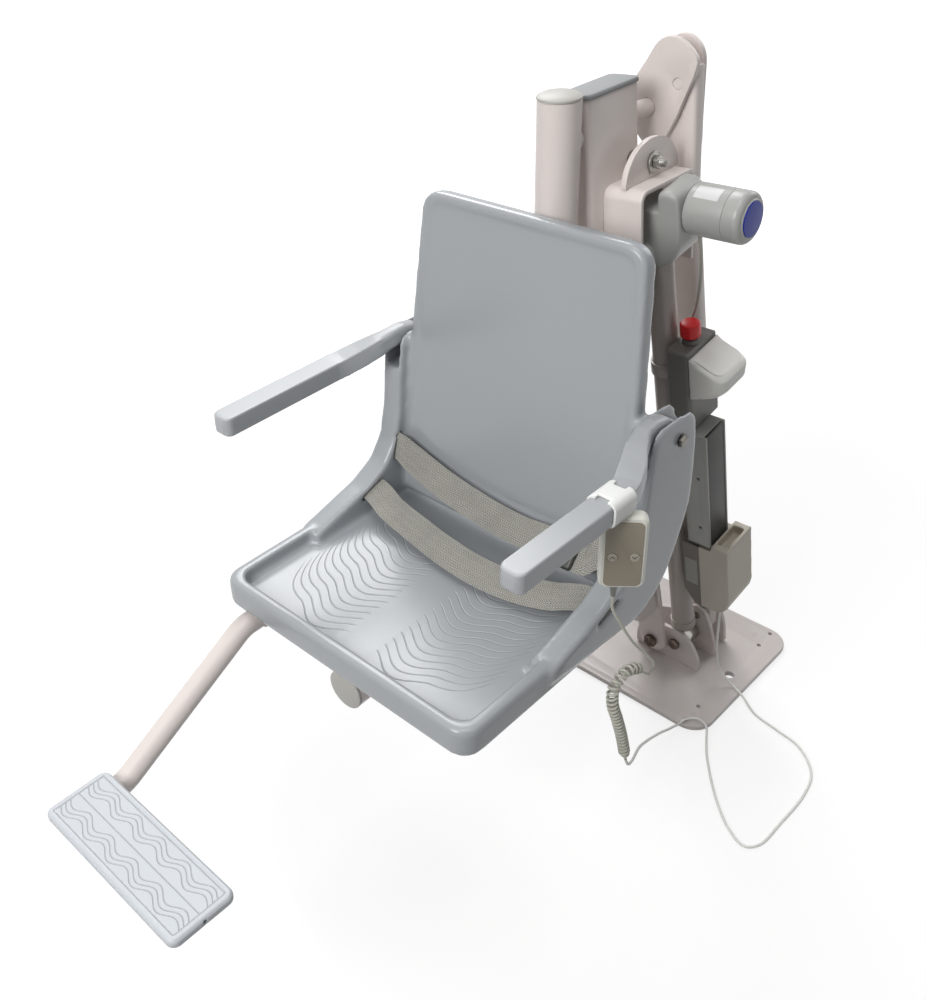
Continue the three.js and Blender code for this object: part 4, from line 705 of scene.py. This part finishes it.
def wire(name, path, radius, mat, body, nodes):
    """A free cord: one open curve with a round section."""
    data = bpy.data.curves.new(name, "CURVE")
    data.dimensions = "3D"
    run = data.splines.new("POLY")
    run.points.add(len(path) - 1)
    run.points.foreach_set("co", np.hstack([path, np.ones((len(path), 1))]).ravel())
    run.use_smooth = True
    data.bevel_depth = radius
    data.bevel_resolution = 5
    data.use_fill_caps = True
    data.materials.append(MATS[mat].material)
    obj = link(name, data)
    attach(obj, body)
    if nodes:
        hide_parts(*nodes)


def curled(line):
    """A helix round a line: point = line + grow (cos turn side + sin turn up), grow fading at both ends."""
    _, side, up = frame_along(line)
    steps = len(line) - 1
    u = np.linspace(0, 1, steps + 1)
    turn = 2 * math.pi * np.arange(steps + 1) / CURL_STEPS
    near = np.minimum(1, np.minimum(CURLS * u / FADE, CURLS * (1 - u) / FADE))
    grow = near ** 2 * (3 - 2 * near) * CURL_R
    return line + side * (grow * np.cos(turn))[:, None] + up * (grow * np.sin(turn))[:, None]


def cords():
    """The lead and its curls hang from the handset and move with the chair; the tail lies on the deck."""
    line = spline(spline(points(COIL_ROUTE), count=200), count=CURLS * CURL_STEPS + 1)
    ahead, _, _ = frame_along(line)
    head = line[0] - ahead[0] * 2 * WIRE
    foot = line[-1] + ahead[-1] * 2 * WIRE
    start = hand(RELIEF_X, 0, -HAND_HALF - GAP - RELIEF_LONG - GAP)
    lead = np.vstack([start - UP * 2 * WIRE, start - UP * STUB, points(LEAD_ROUTE), head])
    lead = np.vstack([start, spline(lead, count=40), curled(line), foot])
    wire("handset_wire", lead, WIRE, "coil", "carriage", ("cord_lead", "cord_coil"))
    box_low = ram(BOX_LOW_X, BOX_LOW_Y, BOX_LOW_Z - GAP)
    tail = np.vstack([foot + ahead[-1] * 2 * WIRE, points(TAIL_ROUTE), box_low - RAM_Z * STUB,
                      box_low - RAM_Z * 2 * WIRE])
    tail = np.vstack([foot + ahead[-1] * GAP * MM, spline(tail, count=240), box_low])
    wire("deck_wire", tail, WIRE, "cord", "base", ("cord_tail",))
    motor_low, box_back = ram(MOTOR_LEAD_X, MOTOR_Y, MOTOR_Z - MOTOR_R - GAP), ram(*BOX_BACK)
    run = [motor_low, motor_low - RAM_Z * MOTOR_STUB, *(ram(*p) for p in MOTOR_ROUTE),
           box_back + RAM_Z * BACK_STUB, box_back]
    wire("motor_wire", spline(run, count=60), MOTOR_WIRE, "coil", "ram", ())


cords()

# Plates, brackets, bolts and bars, and their rounded edges in millimetres where they aren't 0.8
PLATES = {
    "base_plate": "base", "base_ear_near": "base", "base_ear_far": "base", "base_ear_back": "base",
    "arm_foot_plate": "frame", "yoke": "frame", "yoke_lug": "frame", "yoke_washer": "zinc",
    "yoke_bolt": "zinc", "rear_link": "frame", "fin_front": "frame", "fin_rear": "frame",
    "seat_bracket_front": "frame", "seat_bracket_rear": "frame", "back_bracket": "frame",
    "battery_rail": "rail", "rail_strip": "strip", "contact_deck": "dark", "arm_pivot_bolt": "bolt",
    "ram_pivot_bolt": "bolt", "link_pivot_bolt": "bolt", "fin_pin": "frame", "armrest_pin_left": "pin",
    "armrest_pin_right": "pin", "arm_tube": "frame", "arm_cap": "arm_cap",
}
EDGES = {"base_plate": 1.0, "arm_tube": 1.2, "arm_cap": 2.0, "rear_link": 1.2, "yoke": 1.4}
for name, mat in PLATES.items():
    machined(name, mat, EDGES.get(name, 0.8))

# Seat shell, buckle and footrest plate
cast("seat_shell", "seat", pitch=3.8, rounds=7)
cast("buckle", "black", pitch=1.2, rounds=4)
cast("footrest_plate", "foot", pitch=1.6, rounds=4)

# Armrests: where one starts, how high it is and how far forward it runs
REST_X, REST_Y, REST_Z, REST_RUN = 267, -44, 716, 388
# in front of its bend: share of its run, shifts inwards and up, half its width and half its height
REST_RINGS = [(0.19, 33.0, 24.3, 11.5, 13), (0.232, 28.5, 20.0, 14.4, 14.6), (0.299, 15.0, 10.0, 17.5, 15),
              (0.371, 4.0, 2.0, 18, 15), (0.418, 0, 0, 18, 15), (0.66, 0, 0, 18, 15), (0.94, 0, 0, 18, 15)]
# and the same for the rounded tip, as quarter arcs
REST_RINGS += [(0.967 + 0.031 * math.sin(a), 0, 0, 6 + 12 * math.cos(a), 12.6 + 2.4 * math.cos(a))
               for a in np.radians([0, 20, 38, 54, 68, 80])]


def armrest_rings(side):
    """The flat-topped section of an armrest: corner = middle +- half width across +- half height up."""
    run, inwards, rise, half, tall = np.array(REST_RINGS).T[:, :, None]
    middle = points(np.hstack([side * (REST_X - inwards), REST_Y - REST_RUN * run, REST_Z + rise]))
    ahead = unit(np.gradient(middle, axis=0))
    across = unit(np.cross(ahead, UP))
    up = np.cross(across, ahead)
    corners = [(-1, -1), (1, -1), (1, 1), (-1, 1)]
    return np.stack([middle + across * a * half * MM + up * b * tall * MM for a, b in corners], axis=1)


cast("armrest_left", "rest", pitch=1.7, rounds=3, extra=[skin(armrest_rings(1))])
cast("armrest_right", "rest", pitch=1.7, rounds=3, extra=[skin(armrest_rings(-1))])

# Handset
machined("handset_body", "hand", edge=1.4, steps=4)
hook = block(at, x=(256, 278), y=(-244, -214), z=(731.4, 735.2))
cast("handset_clip", "clip", pitch=1.1, rounds=3, extra=[hook])

# Gear housing: it fills the yoke, with a round neck towards the motor, as places along the axis and radii
NECK = ((20, 31), (40, 35), (52, 36.6), (57.1, 37))
neck = skin([about_motor(x, r, np.linspace(0, 2 * math.pi, 48, endpoint=False)) for x, r in NECK])
gears = block(ram, x=(-32.6, 26), y=(-32.6, 32.6), z=(880, 929))
cast("gear_housing", "motor", pitch=1.8, rounds=9, extra=[neck, gears])

# Control boxes: the lower one is a tray with a cut pocket, its outline given in x and z
side_box = block(ram, x=(22, 61.8), y=(20, 44), z=(546, 696.6))
cast("control_box_upper", "dark", pitch=1.6, rounds=6, extra=[side_box])
TRAY = [(30.5, 182), (50, 151), (92, 150.5), (104, 157), (114, 170), (117.5, 186), (117.5, 309.5),
        (87, 309.5), (86, 297.5), (30.5, 297.5)]
tray_x, tray_z = np.array(TRAY).T
tray = skin([ram(tray_x, y, tray_z) for y in (-34.5, 44)])
pocket = block(ram, x=(91, 111), y=(-22, 32), z=(292, 330))
cast("control_box_lower", "lower", pitch=1.4, rounds=7, extra=[tray], own=False, cuts=[pocket])

# Control cover: its inner face, its two sides and its corners, and how far out it comes at each level
COVER_IN, COVER_NEAR, COVER_FAR, COVER_CORNER = 62.3, -35, 44, 19
COVER_LEVELS = [616, 622, 628, 640, 662, 668, 690]
COVER_OUT = [66, 92, 106, 117, 120, 115, 64]


def cover_ring(z):
    """One level of the cover: flat against the box, with round outer corners of radius r."""
    deep = np.interp(z, COVER_LEVELS, COVER_OUT) - COVER_IN
    r = min(COVER_CORNER, deep * 0.8)
    flat = COVER_IN + deep - r
    a = np.linspace(0, math.pi / 2, 12)
    near_y, far_y = COVER_NEAR + r - r * np.cos(a[1:]), COVER_FAR - r + r * np.sin(a)
    x = np.concatenate([[COVER_IN, flat], flat + r * np.sin(a[1:]), flat + r * np.cos(a), [COVER_IN]])
    y = np.concatenate([[COVER_NEAR, COVER_NEAR], near_y, far_y, [COVER_FAR]])
    return ram(x, y, z)


cover = skin([cover_ring(z) for z in np.linspace(616.4, 689.6, 60)])
cast("control_cover", "cream", pitch=1.3, rounds=5, extra=[cover], own=False)

# Smaller pieces with finer edges
SMALL = {
    "cross_shaft": "frame", "connector_stub": "dark", "ram_clamp": "ram", "footrest_socket": "frame",
    "stop_collar": "dark", "cord_relief": "dark", "handset_key_up": "key_up",
    "handset_key_down": "key_down", "ram_rod": "rod", "ram_tube": "ram", "post_cap_top": "cap",
    "post_cap_front": "cap",
}
for name, mat in SMALL.items():
    machined(name, mat, edge=0.5)

# Motor and stop button: places along the axis, lengths, and profiles as radii and heights
CAN_X, CAN_LONG, CAP_LONG, CAP_FACE = 57.4, 58.3, 26, 27.2
CAP_X = CAN_X + CAN_LONG + GAP
DISC_R, DISC_THICK = 24.8, 1.5
STOP_X, STOP_Z, STOP_R = 46, 710.3, 15.5
CAN = [(0.5, 0), (34.6, 0)] + rounding(MOTOR_R, 0, 2.4, low=True) + rounding(MOTOR_R, CAN_LONG, 0.5)
END_CAP = ([(0.5, 0)] + rounding(MOTOR_R, 0, 0.5, low=True) + [(MOTOR_R, 16)]
           + rounding(MOTOR_R, CAP_LONG, 9, steps=10)[1:] + [(26.2, 27.6), (25.6, 27.4), (0.5, 27.4)])
DISC = ([(0.5, 0)] + rounding(DISC_R, 0, 0.3, low=True) + rounding(DISC_R, DISC_THICK, 0.5)
        + [(0.5, DISC_THICK)])
BUTTON = ([(0.4, -8.3), (6, -8.3), (6, 0), (13.6, 0)] + rounding(STOP_R, 0, 1.2, low=True)
          + [(STOP_R, 12.6), (15.1, 13.2), (15.1, 14.2), (STOP_R, 14.8)] + rounding(STOP_R, 22.2, 3.0)
          + [(9, 22.7), (0.4, 23)])
dress(lathe("motor_can_finish", CAN, about_motor(CAN_X, 0, 0), RAM_X), "motor", "motor_can")
dress(lathe("motor_end_cap_finish", END_CAP, about_motor(CAP_X, 0, 0), RAM_X), "motor", "motor_end_cap")
dress(lathe("motor_disc", DISC, about_motor(CAP_X + CAP_FACE, 0, 0), RAM_X), "blue", "motor_end_cap", False)
dress(lathe("stop_button_finish", BUTTON, ram(STOP_X, 0, STOP_Z), RAM_Z), "red", "stop_button")


def patch(name, mat, node, rows, thick, lift=0.0):
    """A thin plate: surface points, and the same moved out by the thickness, both lifted off the surface."""
    normal = unit(np.cross(np.gradient(rows, axis=0), np.gradient(rows, axis=1)))
    top, bottom = rows + normal * (lift + thick) * MM, rows + normal * lift * MM
    ids = np.arange(rows.shape[0] * rows.shape[1]).reshape(rows.shape[:2])
    face = np.stack([ids[:-1, :-1], ids[1:, :-1], ids[1:, 1:], ids[:-1, 1:]], axis=2).reshape(-1, 4)
    rim = np.concatenate([ids[:, 0], ids[-1, 1:], ids[-2::-1, -1], ids[0, -2:0:-1]])
    after = np.roll(rim, -1)
    edge = np.stack([rim, after, ids.size + after, ids.size + rim], axis=1)
    faces = np.vstack([face, ids.size + face[:, ::-1], edge]).tolist()
    dress(closed(name, np.vstack([top.reshape(-1, 3), bottom.reshape(-1, 3)]), faces), mat, node, False)


# the cover's sloping face: its run out from the box, its two sides, its corners, and its fall from the top
FACE_IN, FACE_OUT, FACE_NEAR, FACE_FAR, FACE_CORNER = 68, 112, -29.5, 38.5, 13
TOP_X, TOP_Z, FALL, FALL_RUN = 64, 690, 22, 51


def cover_slope():
    """Points out from the box and across it, drawn in at the corners: z = top - (x - top x) fall / run."""
    x, t = np.linspace(FACE_IN, FACE_OUT, 24)[:, None], np.linspace(0, 1, 12)
    past = np.maximum(0, x - (FACE_OUT - FACE_CORNER)) / FACE_CORNER
    inset = FACE_CORNER * (1 - np.sqrt(np.maximum(0, 1 - past ** 2)))
    near, far = FACE_NEAR + inset, FACE_FAR - inset
    return ram(x, near + (far - near) * t, TOP_Z - (x - TOP_X) * FALL / FALL_RUN)


# Bare plates where the real ones carry print, and the cover's face: thickness and lift in millimetres
plate_x, plate_angle = np.linspace(67, 104, 4)[:, None], np.radians(np.linspace(126, 92, 16))
patch("motor_plate", "plate", "motor_can", about_motor(plate_x, MOTOR_R, plate_angle), 0.2, 0.05)
patch("cover_face", "cover_face", "control_cover", cover_slope(), 0.9, -0.2)
plate_x, plate_z = np.linspace(36, 60, 4), np.linspace(202, 262, 6)[:, None]
patch("lower_plate", "grey_plate", "control_box_lower", ram(plate_x, -35, plate_z), 0.3)

# Seat post and footrest tube: their runs, bends, radii and sides
POST_TOP, POST_Z, POST_FRONT, POST_BEND, POST_R = 1126, 395, -462, 95, 30.15
SEAT_UNDER, SOCKET_R = 437, 20.5
FOOT_BEND, FOOT_R, FOOT_UNDER, TUBE_X, PLATE_X = 60, 17, 317, -195, -178
tube_z, plate_tube_z = SEAT_UNDER - GAP - SOCKET_R, FOOT_UNDER - GAP - FOOT_R
post = bent(points([(0, 0, POST_TOP), (0, 0, POST_Z), (0, POST_FRONT, POST_Z)]), POST_BEND * MM)
tube = bent(points([(TUBE_X, -215, tube_z), (TUBE_X, -492, tube_z), (PLATE_X, -744, plate_tube_z),
                    (PLATE_X, -822, plate_tube_z)]), FOOT_BEND * MM)
dress(pipe("seat_post_pipe", post, POST_R * MM, sides=96, edge=1.2 * MM), "frame", "seat_post")
dress(pipe("footrest_pipe", tube, FOOT_R * MM, sides=72, edge=1.0 * MM), "frame", "footrest_tube")

# Belts: the webbing's half width and half thickness, the slots that hold it (y, z and tilt) and the buckle
WEB_HALF, WEB_THIN = 23, 0.95
WEB_ROWS, WEB_POINTS, WEB_POWER, WEB_RIM_SHARE = 90, 13, 18, 0.35
SLOT_TALL, SLOT_OUT, SLOT_IN = 9, 249, 204
BACK_SLOT, SEAT_SLOT = (-126, 556, 0.3), (-188, 500, 1.25)
BUCKLE_X, BUCKLE_Y, BUCKLE_Z, BUCKLE_LONG, MOUTH_DEEP = 130, -140, 524, 58, 9
MOUTH = BUCKLE_LONG / 2 - MOUTH_DEEP + GAP
ACROSS = [0, 0.65, 0.76]


def strap(name, node, rows):
    """Webbing: point = middle + v half width across +- thickness sqrt(1 - |v|^power), v from -1 to 1.

    A row holds a place and a direction across the strap. Its own length and width are the map coordinates.
    """
    rows = np.array(rows, float)
    line = spline(np.hstack([points(rows[:, :3]), rows[:, 3:]]), WEB_ROWS)
    middle, lean = line[:, None, :3], line[:, 3:]
    ahead, _, _ = frame_along(line[:, :3])
    across = unit(lean - ahead * (lean * ahead).sum(1)[:, None])
    v = np.linspace(-1, 1, WEB_POINTS)
    thin = np.sqrt(np.clip(1 - np.abs(v) ** WEB_POWER, 0, 1)) * WEB_THIN * MM
    thin[[0, -1]] = WEB_THIN * MM * WEB_RIM_SHARE
    half = WEB_HALF * MM
    spread = middle + across[:, None] * (v * half)[:, None]
    lift = np.cross(ahead, across)[:, None] * thin[:, None]
    obj = closed(name, *skin(np.concatenate([spread + lift, (spread - lift)[:, ::-1]], axis=1)))
    run = reach(line[:, :3])
    map_u = np.repeat(run, 2 * len(v))
    map_v = np.tile(np.concatenate([v, v[::-1]]) * half + half, len(line))
    ids = np.empty(len(obj.data.loops), np.int32)
    obj.data.loops.foreach_get("vertex_index", ids)
    layer = obj.data.uv_layers.new(name="weave")
    layer.data.foreach_set("uv", np.stack([map_u[ids], map_v[ids]], axis=1).ravel())
    dress(obj, "belt", node)


def held(x, slot):
    """A strap's row in a slot of the shell, drawn against the slot's rim."""
    y, z, tilt = slot
    pull = SLOT_TALL / 2 - WEB_THIN - WEB_THIN
    return [x, y - pull * math.cos(tilt), z + pull * math.sin(tilt), 0, math.sin(tilt), math.cos(tilt)]


strap("strap_long", "belt_long", [
    held(-SLOT_OUT, BACK_SLOT), held(-SLOT_IN, BACK_SLOT), [-172, -131, 548, 0, 0.5, 0.86],
    [-100, -138, 534] + ACROSS, [-20, -141, 524] + ACROSS, [50, -141, 520] + ACROSS,
    [97, BUCKLE_Y, BUCKLE_Z] + ACROSS, [BUCKLE_X - MOUTH, BUCKLE_Y, BUCKLE_Z] + ACROSS])
strap("strap_lower", "belt_lower", [
    held(-SLOT_OUT, SEAT_SLOT), held(-SLOT_IN, SEAT_SLOT), [-160, -200, 494, 0.05, 0.93, 0.36],
    [-100, -209, 489, 0.1, 0.9, 0.42], [-30, -219, 486, 0.08, 0.86, 0.5], [40, -224, 486, 0.03, 0.84, 0.54],
    [100, -220, 488, 0, 0.84, 0.54], [160, -206, 493, -0.04, 0.9, 0.42],
    held(SLOT_IN, SEAT_SLOT), held(SLOT_OUT, SEAT_SLOT)])
strap("strap_short", "belt_short", [
    [BUCKLE_X + MOUTH, BUCKLE_Y, BUCKLE_Z] + ACROSS, [164, BUCKLE_Y, BUCKLE_Z] + ACROSS,
    [173, -140, 525] + ACROSS, [181, -137, 534, 0, 0.55, 0.83], [189, -130, 549, 0, 0.4, 0.91],
    held(198, BACK_SLOT), held(SLOT_IN, BACK_SLOT), held(SLOT_OUT, BACK_SLOT)])

# Stage: sizes in metres, and each lamp's place, size, power and tint
WHITE, SOFT, GREY = (1, 1, 1, 1), (0.97, 0.985, 1.0, 1), (0.34, 0.34, 0.34, 1)
SOFT_LIGHT = 0.15
FLOOR_HALF, FLOOR_Z = 14, -0.0004
# from where to where the floor's glow rises, and between which strengths
FADE_FROM, FADE_TO, GLOW_NEAR, GLOW_FAR = 0.7, 2.6, 0.71, 1.0
LAMPS_TO = Vector((0.05, -0.35, 0.5))
LAMPS = [
    ("over", (0.4, -0.8, 3.4), 1.6, 20, (1, 0.998, 0.99)),
    ("sheen", (-2.43, 1.48, 3.63), 2.2, 100, (1, 1, 1)),
    ("key", (0.1, -3.0, 2.3), 1.6, 62, (1, 0.995, 0.985)),
    ("side", (2.6, -0.4, 1.8), 1.8, 1, (0.97, 0.985, 1)),
    ("back", (0.6, 2.6, 2.2), 1.6, 16, (1, 1, 1)),
]


def surround():
    """A world that is white to the camera and in reflections, and a faint soft light for the rest."""
    SCENE.world = bpy.data.worlds.new("studio")
    t = Tree(SCENE.world)
    rays = t.node("ShaderNodeLightPath").outputs
    seen = t.plus(rays["Is Camera Ray"], rays["Is Glossy Ray"])
    seen = t.math("ADD", seen, rays["Is Transmission Ray"], use_clamp=True)
    soft = t.node("ShaderNodeBackground", {0: SOFT, 1: SOFT_LIGHT}).outputs[0]
    white = t.node("ShaderNodeBackground", {0: WHITE, 1: 1.0}).outputs[0]
    mixed = t.node("ShaderNodeMixShader", {0: seen, 1: soft, 2: white}).outputs[0]
    t.node("ShaderNodeOutputWorld", {0: mixed})


def floor():
    """A grey floor that glows for the camera and in reflections, to white away from the object."""
    far = FLOOR_HALF
    corners = [(-far, -far, FLOOR_Z), (far, -far, FLOOR_Z), (far, far, FLOOR_Z), (-far, far, FLOOR_Z)]
    obj = from_arrays("floor", corners, [(0, 1, 2, 3)])
    material = bpy.data.materials.new("floor")
    t = Tree(material)
    place = t.node("ShaderNodeTexCoord").outputs["Object"]
    rays = t.node("ShaderNodeLightPath").outputs
    away = t.node("ShaderNodeVectorMath", {0: place}, operation="LENGTH").outputs["Value"]
    seen = t.math("ADD", rays["Is Camera Ray"], rays["Is Glossy Ray"], use_clamp=True)
    rise = t.band(away, FADE_FROM, FADE_TO, GLOW_NEAR, GLOW_FAR)
    glow = t.node("ShaderNodeEmission", {1: t.times(seen, rise)}).outputs[0]
    matte = t.node("ShaderNodeBsdfDiffuse", {0: GREY}).outputs[0]
    both = t.node("ShaderNodeAddShader", {0: matte, 1: glow}).outputs[0]
    t.node("ShaderNodeOutputMaterial", {0: both})
    obj.data.materials.append(material)


def lamps():
    """Round area lamps, all turned to the chair."""
    for name, spot, size, power, tint in LAMPS:
        data = bpy.data.lights.new(name, "AREA")
        data.shape = "DISK"
        data.size = size
        data.energy = power
        data.color = tint
        lamp = link(name, data)
        lamp.location = spot
        lamp.rotation_euler = (LAMPS_TO - Vector(spot)).to_track_quat("-Z", "Y").to_euler()


SCENE.view_settings.view_transform = "Standard"
surround()
floor()
lamps()
